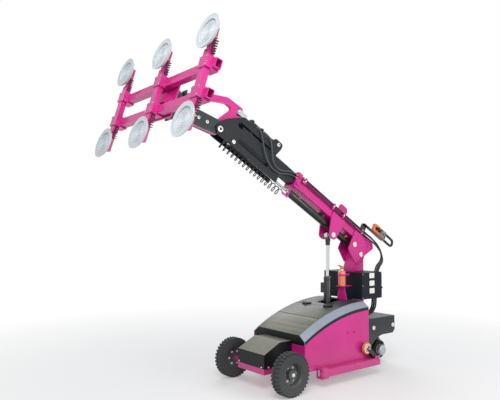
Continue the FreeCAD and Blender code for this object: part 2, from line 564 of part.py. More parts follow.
mast_hole = box("-column_half", "column_half", "column_front_y", "column_rear_y", f"{TAIL_TOP} - overrun",
                "fender_top + overrun")
node("rear_fender", MAST_FRAME, cut(fuse(cheek_left, mirrored(cheek_left), fender_roof, fender_back), mast_hole))
for place in ("cap_front_y", "cap_rear_y"):
    cap = rod("X", "cap_diameter", "fender_half", "fender_half + cap_depth", place, "cap_z")
    fasteners += [cap, mirrored(cap)]

# Steered drive wheel: a yoke on a kingpin, its motor and brake on the left and its gear case on the right.
DRIVE_Z = "drive_diameter / 2"
YOKE_IN = "drive_width / 2 + drive_gap"
YOKE_OUT = f"{YOKE_IN} + yoke_wall"
YOKE_TOP = "drive_diameter + yoke_rise"
yoke_arm = box(YOKE_IN, YOKE_OUT, "drive_y - yoke_depth / 2", "drive_y + yoke_depth / 2",
               f"{DRIVE_Z} - yoke_depth / 2", YOKE_TOP)
yoke_roof = box(f"-({YOKE_OUT})", YOKE_OUT, "drive_y - yoke_depth / 2", "drive_y + yoke_depth / 2", YOKE_TOP,
                f"{YOKE_TOP} + yoke_wall")
steer_head = rod("Z", "kingpin_flange", f"{YOKE_TOP} + yoke_wall", "tail_bottom - seat_gap", "0", "drive_y")
kingpin = rod("Z", "kingpin_diameter", "tail_bottom - running_gap", f"{TAIL_TOP} - running_gap", "0", "drive_y")
axle_bore = rod("X", "drive_axle + 2 * fit_gap", f"-({YOKE_OUT}) - overrun", f"{YOKE_OUT} + overrun", "drive_y",
                DRIVE_Z)
node("steering_yoke", MAST_FRAME,
     cut(fuse(yoke_arm, mirrored(yoke_arm), yoke_roof, steer_head, kingpin), axle_bore))
MOTOR_END = f"{YOKE_OUT} + motor_depth"
gear_case = rod("X", "gear_diameter", f"-({YOKE_OUT}) - gear_depth", f"-({YOKE_OUT})", "drive_y", DRIVE_Z)
node("drive_motor", MAST_FRAME, rod("X", "motor_diameter", YOKE_OUT, MOTOR_END, "drive_y", DRIVE_Z), gear_case)
node("brake_cover", MAST_FRAME, turned("X", [
    ("0", "0"), ("brake_depth", "0"), ("brake_depth", "brake_diameter / 2 - cap_depth"),
    ("brake_depth - cap_depth", "brake_diameter / 2"), ("0", "brake_diameter / 2")],
    MOTOR_END, "drive_y", DRIVE_Z))
DRIVE_HALF = "drive_width / 2"
drive_tyre = tube("X", "drive_diameter", "drive_diameter - 2 * drive_tread", f"-{DRIVE_HALF}", DRIVE_HALF,
                  "drive_y", DRIVE_Z)
drive_disc = rod("X", "drive_diameter - 2 * drive_tread", f"-{DRIVE_HALF}", DRIVE_HALF, "drive_y", DRIVE_Z)
drive_shaft = rod("X", "drive_axle", f"-({YOKE_OUT} - running_gap)", f"{YOKE_OUT} - running_gap", "drive_y",
                  DRIVE_Z)
node("drive_wheel", MAST_FRAME, drive_tyre, fuse(drive_disc, drive_shaft))

# Outriggers: arms that swing out from a hinge behind each front wheel, each with a castor that folds over.
ARM_X = "(panel_half + arm_out)"
ARM_TOP = "arm_bottom + arm_height"
EAR_LOW = "arm_bottom - seat_gap - ear_wall"
EAR_HIGH = f"{ARM_TOP} + seat_gap + ear_wall"


def outrigger(side, mirror):
    arm_tube = box(f"{ARM_X} - arm_half", f"{ARM_X} + arm_half", "arm_hinge_y", "arm_end_y", "arm_bottom",
                   ARM_TOP)
    hollow = box(f"{ARM_X} - arm_half + arm_wall", f"{ARM_X} + arm_half - arm_wall", "arm_hinge_y + arm_eye",
                 "arm_end_y + overrun", "arm_bottom + arm_wall", f"{ARM_TOP} - arm_wall")
    eye = rod("Z", "arm_eye", "arm_bottom", ARM_TOP, ARM_X, "arm_hinge_y")
    bore = rod("Z", "hinge_pin + 2 * fit_gap", "arm_bottom - overrun", f"{ARM_TOP} + overrun", ARM_X,
               "arm_hinge_y")
    ends = []
    for edge in (f"{ARM_X} - arm_half", f"{ARM_X} + arm_half - lug_wall"):
        ends.append(box(edge, f"{edge} + lug_wall", "arm_end_y", "castor_pin_y + lug_reach", "arm_bottom",
                        "castor_pin_z + lug_height"))
    pin_bore = rod("X", "castor_pin + 2 * fit_gap", f"{ARM_X} - arm_half - overrun",
                   f"{ARM_X} + arm_half + overrun",
                   "castor_pin_y", "castor_pin_z")
    arm = cut(fuse(cut(arm_tube, hollow), eye, *ends), bore, pin_bore)
    CHEEK_IN = "castor_width / 2 + seat_gap"
    wheel_y = "castor_pin_y - castor_back"
    wheel_z = "2 * castor_pin_z - castor_diameter / 2"
    slant = "cheek_width / 2"
    cheeks = []
    for inner in (f"{ARM_X} + {CHEEK_IN}", f"{ARM_X} - ({CHEEK_IN}) - cheek_wall"):
        low = plate(inner, f"{inner} + cheek_wall", [
            (f"castor_pin_y - {slant}", f"castor_pin_z - {slant}"), (f"castor_pin_y + {slant}", "castor_pin_z"),
            (f"{wheel_y} + {slant}", f"{wheel_z} + {slant}"), (f"{wheel_y} - {slant}", wheel_z)],
            [("cheek_width / 4", (0, 1, 2, 3))])
        cheeks.append(low)
    spacer = rod("X", "cheek_width", f"{ARM_X} - ({CHEEK_IN}) - cheek_wall",
                 f"{ARM_X} + {CHEEK_IN} + cheek_wall",
                 "castor_pin_y", "castor_pin_z")
    fork_pin = rod("X", "castor_pin", f"{ARM_X} - arm_half - castor_bolt", f"{ARM_X} + arm_half + castor_bolt",
                   "castor_pin_y", "castor_pin_z")
    wheel_pin = rod("X", "castor_axle", f"{ARM_X} - ({CHEEK_IN}) - cheek_wall - castor_bolt",
                    f"{ARM_X} + {CHEEK_IN} + cheek_wall + castor_bolt", wheel_y, wheel_z)
    fork = fuse(*cheeks, spacer, fork_pin, wheel_pin)
    wheel = tube("X", "castor_diameter", "castor_axle + 2 * fit_gap", f"{ARM_X} - castor_width / 2",
                 f"{ARM_X} + castor_width / 2", wheel_y, wheel_z)
    pieces = (("outrigger_arm", arm), ("castor_fork", fork), ("castor_wheel", wheel))
    for name, piece in pieces:
        node(f"{name}_{side}", MAST_FRAME, mirrored(piece) if mirror else piece)


outrigger("left", False)
outrigger("right", True)
ear_back = box("panel_half", "panel_half + ear_plate", "arm_hinge_y - ear_half", "arm_hinge_y + ear_half",
               EAR_LOW, EAR_HIGH)
ears = []
for low, high in ((EAR_LOW, f"{EAR_LOW} + ear_wall"), (f"{EAR_HIGH} - ear_wall", EAR_HIGH)):
    ears.append(box("panel_half", f"{ARM_X} + arm_half", "arm_hinge_y - ear_half", "arm_hinge_y + ear_half",
                    low, high))
swing_room = rod("Z", "2 * sqrt(2) * arm_half + 2 * running_gap", "arm_bottom - seat_gap",
                 f"{ARM_TOP} + seat_gap",
                 ARM_X, "arm_hinge_y")
swing_pin = rod("Z", "hinge_pin", EAR_LOW, f"{EAR_HIGH} + hinge_head_depth", ARM_X, "arm_hinge_y")
swing_head = rod("Z", "hinge_head", EAR_HIGH, f"{EAR_HIGH} + hinge_head_depth", ARM_X, "arm_hinge_y")
bracket_left = cut(fuse(ear_back, *ears), swing_room)
pin_left = fuse(bracket_left, swing_pin, swing_head)
node("outrigger_brackets", MAST_FRAME, pin_left, mirrored(pin_left))
for step in range(2):
    bolt = rod("X", "bolt_head", "panel_half", "panel_half + bolt_head_depth",
               f"panel_bolt_y + {step} * panel_bolt_step", "panel_bolt_z")
    fasteners += [bolt, mirrored(bolt)]
node("chassis_fasteners", MAST_FRAME, *fasteners)

# Mast: a welded column through the control box, with a boss for the boom's pivot pin.
column_sides = plate("-column_half", "column_half", [
    ("column_front_y", TAIL_TOP), ("column_rear_y", TAIL_TOP), ("column_rear_y", "pivot_z"),
    ("pivot_y - pivot_boss / 2", "pivot_z"), ("column_front_y", "pivot_z - column_slope")])
column_hollow = box("-(column_half - column_wall)", "column_half - column_wall", "column_front_y + column_wall",
                    "column_rear_y - column_wall", f"{TAIL_TOP} + column_wall", "pivot_z - column_slope")
pivot_round = rod("X", "pivot_boss", "-column_half", "column_half", "pivot_y", "pivot_z")
pivot_boss = rod("X", "2 * pivot_pin", "-column_half - boss_out", "column_half + boss_out", "pivot_y", "pivot_z")
pivot_bore = rod("X", "pivot_pin + 2 * fit_gap", "-column_half - overrun", "column_half + overrun", "pivot_y",
                 "pivot_z")
node("mast_column", MAST_FRAME, cut(fuse(cut(column_sides, column_hollow), pivot_round, pivot_boss), pivot_bore))

# Control box round the mast, its bare sign plates, the valve block inside and the main switch behind.
box_shell = cut(
    box("-box_half", "box_half", "box_front_y", "box_rear_y", "box_bottom", "box_top"),
    box("-(box_half - box_wall)", "box_half - box_wall", "box_front_y + box_wall", "box_rear_y - box_wall",
        "box_bottom + box_wall", "box_top - box_wall"),
    box("-column_half", "column_half", "column_front_y", "column_rear_y", "box_bottom - overrun",
        "box_top + overrun"),
    box("hose_hole_x - hose_hole_half", "hose_hole_x + hose_hole_half", "hose_hole_y - hose_hole_deep",
        "hose_hole_y + hose_hole_deep", "box_top - box_wall - overrun", "box_top + overrun"))
signs = []
for step in range(3):
    middle = f"sign_top_z - {step} * sign_step"
    signs.append(box("box_half", "box_half + sign_wall", "sign_y - sign_wide / 2", "sign_y + sign_wide / 2",
                     f"{middle} - sign_tall / 2", f"{middle} + sign_tall / 2"))
node("box_signs", MAST_FRAME, *signs)
SWITCH_FACE = "box_rear_y + switch_base_depth"
switch_base = rod("Y", "switch_base", "box_rear_y", SWITCH_FACE, "switch_x", "switch_z")
node("control_box", MAST_FRAME, fuse(box_shell, switch_base))
switch_lever = box("switch_x - switch_lever / 2", "switch_x + switch_lever / 2",
                   f"{SWITCH_FACE} + seat_gap", f"{SWITCH_FACE} + seat_gap + switch_thick",
                   "switch_z - switch_wide / 2", "switch_z + switch_wide / 2")
node("main_switch", MAST_FRAME, switch_lever)

# Fire extinguisher on a flared bracket in front of the box.
SHELF_TOP = "bottle_bottom"
BOTTLE_TOP = "bottle_bottom + bottle_height"
NECK_TOP = f"{BOTTLE_TOP} + bottle_neck_height"
HEAD_TOP = f"{NECK_TOP} + valve_head_height"
bottle = turned("Z", [
    ("0", "0"), ("0", "bottle_diameter / 2"), ("bottle_height - bottle_crown", "bottle_diameter / 2"),
    ("bottle_height", "bottle_neck / 2"), ("bottle_height + bottle_neck_height", "bottle_neck / 2"),
    ("bottle_height + bottle_neck_height", "0")], "bottle_x", "bottle_y", "bottle_bottom")
bottle_valve = box("bottle_x - valve_head / 2", "bottle_x + valve_head / 2", "bottle_y - valve_head / 2",
                   "bottle_y + valve_head / 2", NECK_TOP, HEAD_TOP)
lever_slot = box("bottle_x - lever_wide / 2 - seat_gap", "bottle_x + lever_wide / 2 + seat_gap",
                 "bottle_y - valve_head", "bottle_y + valve_head", f"{HEAD_TOP} - lever_rise",
                 f"{HEAD_TOP} + overrun")
lever_pin = rod("X", "lever_pin", "bottle_x - valve_head / 2", "bottle_x + valve_head / 2",
                "bottle_y + valve_head / 4", f"{HEAD_TOP} - lever_rise / 2")
node("extinguisher_bottle", MAST_FRAME, fuse(bottle, cut(bottle_valve, lever_slot), lever_pin))
LEVER_REAR = "bottle_y + valve_head / 2"
lever_bar = plate("bottle_x - lever_wide / 2", "bottle_x + lever_wide / 2", [
    (LEVER_REAR, f"{HEAD_TOP} - lever_rise / 2 - lever_thick"), (LEVER_REAR, HEAD_TOP),
    (f"{LEVER_REAR} - lever_long", f"{HEAD_TOP} + lever_rise"),
    (f"{LEVER_REAR} - lever_long", f"{HEAD_TOP} + lever_rise - lever_thick"),
    (f"{LEVER_REAR} - valve_head", f"{HEAD_TOP} - lever_thick / 2")])
lever_bore = rod("X", "lever_pin + 2 * fit_gap", "bottle_x - valve_head", "bottle_x + valve_head",
                 "bottle_y + valve_head / 4", f"{HEAD_TOP} - lever_rise / 2")
node("extinguisher_lever", MAST_FRAME, cut(lever_bar, lever_bore))
SHELF_LOW = "bottle_bottom - shelf_wall"
POST_FOOT = "hood_rear_top + seat_gap"
shelf = box("bottle_x - shelf_half", "bottle_x + shelf_half", "bottle_y - shelf_half", "box_front_y", SHELF_LOW,
            SHELF_TOP)
post = doc.addObject("Part::Wedge", "Post")
for prop, text in (("Xmin", "0 - post_low_half"), ("Xmax", "post_low_half"), ("X2min", "0 - post_top_half"),
                   ("X2max", "post_top_half"), ("Ymax", f"{SHELF_LOW} - ({POST_FOOT})"), ("Zmax", "post_wall"),
                   ("Z2max", "post_wall")):
    bind(post, prop, text)
post.Ymin = 0
post.Zmin = 0
post.Z2min = 0
post.Placement = FreeCAD.Placement(Vector(), FreeCAD.Rotation(Vector(1, 0, 0), 90))
seat(post, "bottle_x", "bottle_y", POST_FOOT)
strap_low = "bottle_bottom + strap_rise"
strap = tube("Z", "bottle_diameter + 2 * strap_wall", "bottle_diameter", strap_low,
             f"{strap_low} + strap_height", "bottle_x", "bottle_y")
strap_tie = box("bottle_x - strap_tie / 2", "bottle_x + strap_tie / 2",
                "bottle_y + bottle_diameter / 2 + strap_wall / 2", "box_front_y", strap_low,
                f"{strap_low} + strap_height")
node("extinguisher_bracket", MAST_FRAME, fuse(shelf, post), fuse(strap, strap_tie))

# Batteries, hydraulic power pack and counterweights inside the chassis, and the valve block inside the box.
batteries = []
for column in (0, 1):
    for sign in (1, -1):
        front = f"wall_front_y + wall + battery_front + {column} * (battery_deep + battery_gap)"
        inner = "battery_gap / 2"
        cell = box(inner, f"{inner} + battery_wide", front, f"{front} + battery_deep", FLOOR_TOP,
                   f"{FLOOR_TOP} + battery_tall")
        batteries.append(cell if sign > 0 else mirrored(cell))
node("batteries", MAST_FRAME, *batteries)
TANK_OUTER = "(panel_half - panel_wall - tank_gap)"
PUMP_X = f"({TANK_OUTER} - tank_wide / 2)"
tank = box(f"-{TANK_OUTER}", f"tank_wide - {TANK_OUTER}", "tank_front_y", "tank_front_y + tank_deep",
           FLOOR_TOP, f"{FLOOR_TOP} + tank_tall")
pump = rod("X", "pump_diameter", f"{PUMP_X} - pump_long / 2", f"{PUMP_X} + pump_long / 2",
           "tank_front_y + tank_deep / 2", f"{FLOOR_TOP} + pump_diameter / 2")
valve_block = box("-column_half - valve_wide", "-column_half", "column_front_y",
                  "column_front_y + valve_deep", "box_bottom + box_wall", "box_bottom + box_wall + valve_tall")
node("power_pack", MAST_FRAME, tank, pump, valve_block)
WEIGHT_OUTER = "panel_half - panel_wall - weight_gap"
weight = box("weight_inner", WEIGHT_OUTER, "weight_front_y", "weight_rear_y", FLOOR_TOP,
             f"{FLOOR_TOP} + weight_tall")
node("counterweights", MAST_FRAME, weight, mirrored(weight))

# Boom: the outer tube with its pivot plates, lift plates, collar and hose guard, and the pads inside it.
boom_skin = cut(ahead_box("-boom_half", "boom_half", "boom_rear", "boom_front", "boom_low", "boom_high"),
                ahead_box("-(boom_half - boom_wall)", "boom_half - boom_wall", "boom_rear - overrun",
                          "boom_front + overrun", "boom_low + boom_wall", "boom_high - boom_wall"))
COLLAR_REAR = "boom_front - collar_long"
collar = cut(ahead_box("-boom_half - collar_out", "boom_half + collar_out", COLLAR_REAR, "boom_front",
                       "boom_low - collar_out", "boom_high + collar_out"),
             ahead_box("-boom_half + boom_wall", "boom_half - boom_wall", "boom_rear", "boom_front + overrun",
                       "boom_low + boom_wall", "boom_high - boom_wall"))
collar_bosses = []
for x, above in (("boom_half / 2", "boom_high + collar_out"), ("-boom_half / 2", "boom_high + collar_out")):
    collar_bosses.append(rod("Z", "collar_boss", above, f"{above} + collar_boss / 2", x,
                             "-(boom_front - collar_long / 2)"))
for above in ("boom_low + collar_boss", "boom_high - collar_boss"):
    collar_bosses.append(cross_rod("collar_boss", "-boom_half - collar_out - collar_boss / 2",
                                   "-boom_half - collar_out", "boom_front - collar_long / 2", above))
    collar_bosses.append(cross_rod("collar_boss", "boom_half + collar_out",
                                   "boom_half + collar_out + collar_boss / 2", "boom_front - collar_long / 2",
                                   above))
pivot_plate = plate("boom_half", "boom_half + side_plate_wall", ahead([
    ("stage_ahead + stage_eye", "0 - stage_above"), ("boom_rear", "0 - pivot_boss * plate_low_share"),
    ("0 - pivot_boss * plate_tail_share", "boom_low + stage_above"),
    ("0 - pivot_boss * plate_shoulder_share", "boom_high - collar_boss"),
    ("stage_ahead + stage_eye", "boom_high - collar_boss")]), [("cap_wide / 2", (0, 1, 2, 3))])
lift_plate = plate("boom_half", "boom_half + lift_plate_wall", ahead([
    ("lift_plate_rear", "lift_plate_top"), ("lift_ahead - lift_plate_foot", "0 - lift_plate_low"),
    ("lift_ahead + lift_plate_foot", "0 - lift_plate_low"), ("lift_plate_front", "boom_low"),
    ("lift_plate_front", "lift_plate_top")]), [("lift_plate_foot * plate_round_share", (1, 2))])
flag = plate("-boom_half - flag_wall", "-boom_half", ahead([
    ("flag_rear", "boom_low + boom_wall"), ("flag_rear", "flag_top"), ("flag_front", "flag_top"),
    ("flag_front", "boom_low + boom_wall")]), [("flag_corner", (1, 2))])
plates = [pivot_plate, mirrored(pivot_plate), lift_plate, mirrored(lift_plate), flag]
bores = []
for along, above, size in (("0", "0", "pivot_pin"), ("stage_ahead", "stage_above", "stage_pin"),
                           ("lift_ahead", "lift_above", "lift_pin")):
    bores.append(cross_rod(size, "-boom_half - overrun - side_plate_wall",
                           "boom_half + overrun + side_plate_wall", along, above))
COIL_SIDE = "spiral_coil / 2 + spiral_tube / 2 + seat_gap"
COIL_ABOVE = f"stage_above - stage_tip_eye / 2 - ({COIL_SIDE})"
strap = ahead_box(COIL_SIDE, f"{COIL_SIDE} + anchor_wall", "boom_front - anchor_long / 2", "boom_front",
                  f"{COIL_ABOVE} - anchor_tall / 2", "boom_low")
strap_foot = ahead_box(COIL_SIDE, f"{COIL_SIDE} + anchor_wall", "boom_front - anchor_long / 2",
                       "spiral_rear + anchor_long / 2", f"{COIL_ABOVE} - anchor_tall / 2",
                       f"{COIL_ABOVE} + anchor_tall / 2")
boom_weld = cut(fuse(boom_skin, collar, *collar_bosses, *plates, strap, strap_foot), *bores)
PAD_REAR = "boom_front - pad_long - pad_inset"
PAD_FRONT = "boom_front - pad_inset"
SLIDE_HALF = "inner_half + seat_gap"
INSIDE_HALF = "boom_half - boom_wall"
pad_side = ahead_box(SLIDE_HALF, INSIDE_HALF, PAD_REAR, PAD_FRONT, "inner_low", "inner_high")
pad_low = ahead_box("-inner_half", "inner_half", PAD_REAR, PAD_FRONT, "boom_low + boom_wall",
                    "inner_low - seat_gap")
pad_high = ahead_box("-inner_half", "inner_half", PAD_REAR, PAD_FRONT, "inner_high + seat_gap",
                     "boom_high - boom_wall")
node("boom_tube", BOOM_FRAME, boom_weld, pad_side, mirrored(pad_side), pad_low, pad_high)

PIN_HALF = "boom_half + lift_plate_wall"
pins = []
for along, above, size, half in (("0", "0", "pivot_pin", "boom_half + side_plate_wall"),
                                 ("stage_ahead", "stage_above", "stage_pin", "boom_half + side_plate_wall"),
                                 ("lift_ahead", "lift_above", "lift_pin", PIN_HALF)):
    shank = cross_rod(size, f"-({half})", half, along, above)
    head = cross_rod("cap_wide", half, f"{half} + cap_out", along, above)
    pins.append(fuse(shank, head, mirrored(head)))
node("boom_pins", BOOM_FRAME, *pins)

# Extension cylinder under the boom: its barrel is pinned to the boom and its rod to the head.
stage_tube = cut(ahead_rod("stage_barrel", "stage_ahead + stage_eye / 2", "stage_front", "0", "stage_above"),
                 ahead_rod("stage_bore", "stage_ahead + stage_eye", "stage_front - stage_gland", "0",
                           "stage_above"))
stage_eye = cross_rod("stage_eye", "-stage_eye_half", "stage_eye_half", "stage_ahead", "stage_above")
stage_neck = ahead_rod("stage_bore", "stage_ahead", "stage_ahead + stage_eye", "0", "stage_above")
stage_hole = cross_rod("stage_pin + 2 * fit_gap", "-stage_eye", "stage_eye", "stage_ahead", "stage_above")
rod_hole = ahead_rod("stage_rod + 2 * fit_gap", "stage_front - stage_gland - overrun", "stage_front + overrun",
                     "0", "stage_above")
stage_clamp = ahead_box("-boom_half / 2", "boom_half / 2", "barrel_clamp_ahead",
                        "barrel_clamp_ahead + barrel_clamp_long", "stage_above", "boom_low")
clamp_room = ahead_rod("stage_bore", "boom_rear", "stage_front", "0", "stage_above")
stage_body = cut(fuse(stage_tube, stage_eye, stage_neck, cut(stage_clamp, clamp_room)), stage_hole, rod_hole)
node("stage_barrel", BOOM_FRAME, stage_body)
stage_shaft = ahead_rod("stage_rod", "stage_rod_inner", "stage_tip", "0", "stage_above")
stage_piston = ahead_rod("stage_piston", "stage_rod_inner", "stage_rod_inner + stage_piston_long", "0",
                         "stage_above")
tip_eye = cross_rod("stage_tip_eye", "-stage_tip_half", "stage_tip_half", "stage_tip", "stage_above")
tip_hole = cross_rod("stage_tip_pin", "-stage_tip_eye", "stage_tip_eye", "stage_tip", "stage_above")
tip_pin = cross_rod("stage_tip_pin", "-inner_half - head_wall", "inner_half + head_wall", "stage_tip",
                    "stage_above")
tip_head = cross_rod("cap_wide / 2 + cap_out", "inner_half + head_wall", "inner_half + head_wall + cap_out",
                     "stage_tip", "stage_above")
node("stage_rod", BOOM_FRAME, cut(fuse(stage_shaft, stage_piston, tip_eye), tip_hole),
     fuse(tip_pin, tip_head, mirrored(tip_head)))

# Hydraulic pipes: two along the boom's left side and one along its top, held by clamps.
SIDE_X = "boom_half + side_plate_wall + seat_gap + pipe_diameter / 2"
TOP_PIPE = "boom_high + clamp_wall + pipe_diameter / 2"
PIPE_GRIP = "pipe_diameter / 2 + clamp_wall"
pipe_spots = [(SIDE_X, "side_pipe_low"), (SIDE_X, "side_pipe_high"), ("top_pipe_x", TOP_PIPE)]
pipes = [ahead_rod("pipe_diameter", "pipe_rear", "pipe_front", x, above) for x, above in pipe_spots]
for along in ("flag_front + clamp_long", "(pipe_rear + pipe_front) / 2", "pipe_front - 2 * clamp_long"):
    side_clamp = ahead_box("boom_half", f"{SIDE_X} + {PIPE_GRIP}", along, f"{along} + clamp_long",
                           f"side_pipe_low - ({PIPE_GRIP})", f"side_pipe_high + {PIPE_GRIP}")
    top_clamp = ahead_box(f"top_pipe_x - ({PIPE_GRIP})", f"top_pipe_x + {PIPE_GRIP}", along,
                          f"{along} + clamp_long", "boom_high", f"{TOP_PIPE} + {PIPE_GRIP}")
    room = [ahead_rod("pipe_diameter", f"{along} - overrun", f"{along} + clamp_long + overrun", x, above)
            for x, above in pipe_spots]
    pipes += [cut(side_clamp, *room[:2]), cut(top_clamp, room[2])]
node("boom_pipes", BOOM_FRAME, *pipes)

# Lift cylinder: the rod hangs on the boom's lift pin; the barrel's base pin floats in the clevis slots.
lift_eye = cross_rod("lift_eye", "-lift_eye_half", "lift_eye_half", "0", "0")
lift_shaft = rod("Z", "lift_rod", "-lift_rod_end", "-lift_pin / 2")
lift_piston = rod("Z", "lift_piston", "-(lift_rod_end + lift_piston_long)", "-lift_rod_end")
lift_eye_bore = cross_rod("lift_pin + 2 * fit_gap", "-lift_eye", "lift_eye", "0", "0")
node("lift_rod", LIFT_FRAME, cut(fuse(lift_eye, lift_shaft, lift_piston), lift_eye_bore))
BASE_DEEP = f"sqrt(({lift_y} - lift_base_y) ^ 2 + ({lift_z} - lift_base_z) ^ 2)"
lift_tube = cut(rod("Z", "lift_barrel", "-lift_barrel_end", "-lift_top"),
                rod("Z", "lift_bore", "-lift_cap", "-(lift_top + lift_gland)"),
                rod("Z", "lift_rod + 2 * fit_gap", "-(lift_top + lift_gland + overrun)", "-lift_top + overrun"))
base_eye = rod("X", "lift_base_eye", "-lift_base_half", "lift_base_half", "0", f"-({BASE_DEEP})")
base_neck = box("-lift_base_half", "lift_base_half", "-lift_base_eye / 2", "lift_base_eye / 2",
                f"-({BASE_DEEP})", "-(lift_barrel_end - overrun)")
base_pin = rod("X", "lift_base_pin", "-lift_base_pin_half", "lift_base_pin_half", "0", f"-({BASE_DEEP})")
check_valve = box("-check_valve_wide / 2", "check_valve_wide / 2", "-lift_barrel / 2 - check_valve_deep",
                  "-lift_bore / 2 - running_gap", "-(lift_top + check_valve_drop + check_valve_tall)",
                  "-(lift_top + check_valve_drop)")
node("lift_barrel", LIFT_FRAME, fuse(lift_tube, base_eye, base_neck, base_pin, check_valve))

# Inner boom: a sliding tube with rear pads, and the head plates welded to its front.
inner_skin = cut(ahead_box("-inner_half", "inner_half", "inner_rear", "inner_front", "inner_low", "inner_high"),
                 ahead_box("-(inner_half - inner_wall)", "inner_half - inner_wall", "inner_rear - overrun",
                           "inner_front + overrun", "inner_low + inner_wall", "inner_high - inner_wall"))
REAR_PAD = ("inner_rear + pad_inset", "inner_rear + pad_inset + pad_long")
slide_side = ahead_box("inner_half", f"{INSIDE_HALF} - seat_gap", *REAR_PAD, "inner_low", "inner_high")
slide_low = ahead_box("-inner_half", "inner_half", *REAR_PAD, "boom_low + boom_wall + seat_gap", "inner_low")
slide_high = ahead_box("-inner_half", "inner_half", *REAR_PAD, "inner_high", "boom_high - boom_wall - seat_gap")
node("inner_boom", BOOM_FRAME, inner_skin, slide_side, mirrored(slide_side), slide_low, slide_high)

LUG_TOP = "tilt_barrel_above + tilt_rear_eye / 2 + tilt_head_out"
head_plate = plate("inner_half", "inner_half + head_wall", ahead([
    ("head_rear", "head_low"), ("tilt_ahead", "tilt_above - tilt_lug"), ("tilt_ahead + tilt_lug", "tilt_above"),
    ("head_front", "head_front_mid"), ("head_front_top", "head_top"),
    ("tilt_rear_pin + 2 * tilt_lug_wide", "head_top"), ("tilt_rear_pin + tilt_lug_wide", LUG_TOP),
    ("tilt_rear_pin - tilt_lug_wide", LUG_TOP), ("tilt_rear_pin - tilt_lug_wide", "head_top"),
    ("head_neck", "head_neck_top"), ("head_step", "head_rear_top"), ("head_rear", "head_rear_top")]),
    [("head_corner", (4,)), ("tilt_lug / 2", (1, 2)), ("tilt_lug_wide / 2", (6, 7))])
slot_cuts = []
for rear, front, low, high in (("window_rear", "window_front", "window_low", "window_high"),
                               ("groove_rear", "groove_front", "groove_low", "groove_high")):
    slot_cuts.append(plate("inner_half - overrun", "inner_half + head_wall + overrun", ahead([
        (rear, low), (front, low), (front, high), (rear, high)]),
        [(f"({high} - {low}) * slot_round_share", (0, 1, 2, 3))]))
head_bores = [cross_rod(size, "inner_half - overrun", "inner_half + head_wall + overrun", along, above)
              for size, along, above in (("tilt_pin", "tilt_ahead", "tilt_above"),
                                         ("stage_tip_pin", "stage_tip", "stage_above"),
                                         ("tilt_pin_small", "tilt_rear_pin", "tilt_barrel_above"))]
head_left = cut(head_plate, *slot_cuts, *head_bores)
barrel_seat = cut(ahead_box("-inner_half", "inner_half", "tilt_seat_rear", "tilt_seat_rear + tilt_seat_long",
                            "inner_high", "tilt_barrel_above - tilt_barrel / 4"),
                  ahead_rod("tilt_barrel", "tilt_rear_pin", "tilt_barrel_front", "0", "tilt_barrel_above"))
front_anchor = ahead_box(COIL_SIDE, "inner_half + head_wall", "spiral_front - anchor_long / 2",
                         "spiral_front + anchor_long / 2", f"{COIL_ABOVE} - anchor_tall / 2",
                         "head_low + anchor_tall")
tilt_shank = cross_rod("tilt_pin", "-inner_half - head_wall", "inner_half + head_wall", "tilt_ahead",
                       "tilt_above")
tilt_cap = cross_rod("cap_wide", "inner_half + head_wall", "inner_half + head_wall + cap_out", "tilt_ahead",
                     "tilt_above")
ports = [ahead_box("inner_half - port_in", "inner_half + head_wall", f"port_rear + {step} * port_step",
                   f"port_rear + {step} * port_step + port_long", "head_top", "head_top + port_tall")
         for step in (0, 1)]
node("head_plates", BOOM_FRAME, fuse(head_left, mirrored(head_left), barrel_seat, front_anchor, *ports),
     fuse(tilt_shank, tilt_cap, mirrored(tilt_cap)))

# Tilt cylinder on top of the head: a fixed barrel, and a rod whose fork pin floats in the arm's slot.
tilt_tube = cut(ahead_rod("tilt_barrel", "tilt_rear_pin + tilt_rear_eye / 2", "tilt_barrel_front", "0",
                          "tilt_barrel_above"),
                ahead_rod("tilt_bore", "tilt_bore_rear", "tilt_barrel_front - tilt_gland", "0",
                          "tilt_barrel_above"),
                ahead_rod("tilt_rod + 2 * fit_gap", "tilt_barrel_front - tilt_gland - overrun",
                          "tilt_barrel_front + overrun", "0", "tilt_barrel_above"))
tilt_eye = cross_rod("tilt_rear_eye", "-tilt_base_half", "tilt_base_half", "tilt_rear_pin", "tilt_barrel_above")
tilt_neck = ahead_rod("tilt_rear_eye", "tilt_rear_pin", "tilt_bore_rear", "0", "tilt_barrel_above")
tilt_eye_bore = cross_rod("tilt_pin_small", "-tilt_rear_eye", "tilt_rear_eye", "tilt_rear_pin",
                          "tilt_barrel_above")
rear_pin = cross_rod("tilt_pin_small", "-inner_half - head_wall", "inner_half + head_wall", "tilt_rear_pin",
                     "tilt_barrel_above")
rear_pin_cap = cross_rod("cap_wide / 2 + cap_out", "inner_half + head_wall",
                         "inner_half + head_wall + tilt_head_out", "tilt_rear_pin", "tilt_barrel_above")
node("tilt_barrel", BOOM_FRAME, cut(fuse(tilt_tube, tilt_eye, tilt_neck), tilt_eye_bore),
     fuse(rear_pin, rear_pin_cap, mirrored(rear_pin_cap)))
FORK_OUT = "tilt_fork_inner + tilt_fork_wall"
FORK_REAR = "tilt_rod_tip - tilt_fork_back"
tilt_shaft = ahead_rod("tilt_rod", "tilt_rod_inner", f"{FORK_REAR} + tilt_fork_base", "0", "tilt_barrel_above")
tilt_piston = ahead_rod("tilt_piston", "tilt_rod_inner", "tilt_rod_inner + tilt_piston_long", "0",
                        "tilt_barrel_above")
fork_base = ahead_box(f"-({FORK_OUT})", FORK_OUT, FORK_REAR, f"{FORK_REAR} + tilt_fork_base",
                      "tilt_barrel_above - tilt_fork / 2", "tilt_barrel_above + tilt_fork / 2")
fork_side = ahead_box("tilt_fork_inner", FORK_OUT, FORK_REAR, "tilt_rod_tip",
                      "tilt_barrel_above - tilt_fork / 2", "tilt_barrel_above + tilt_fork / 2")
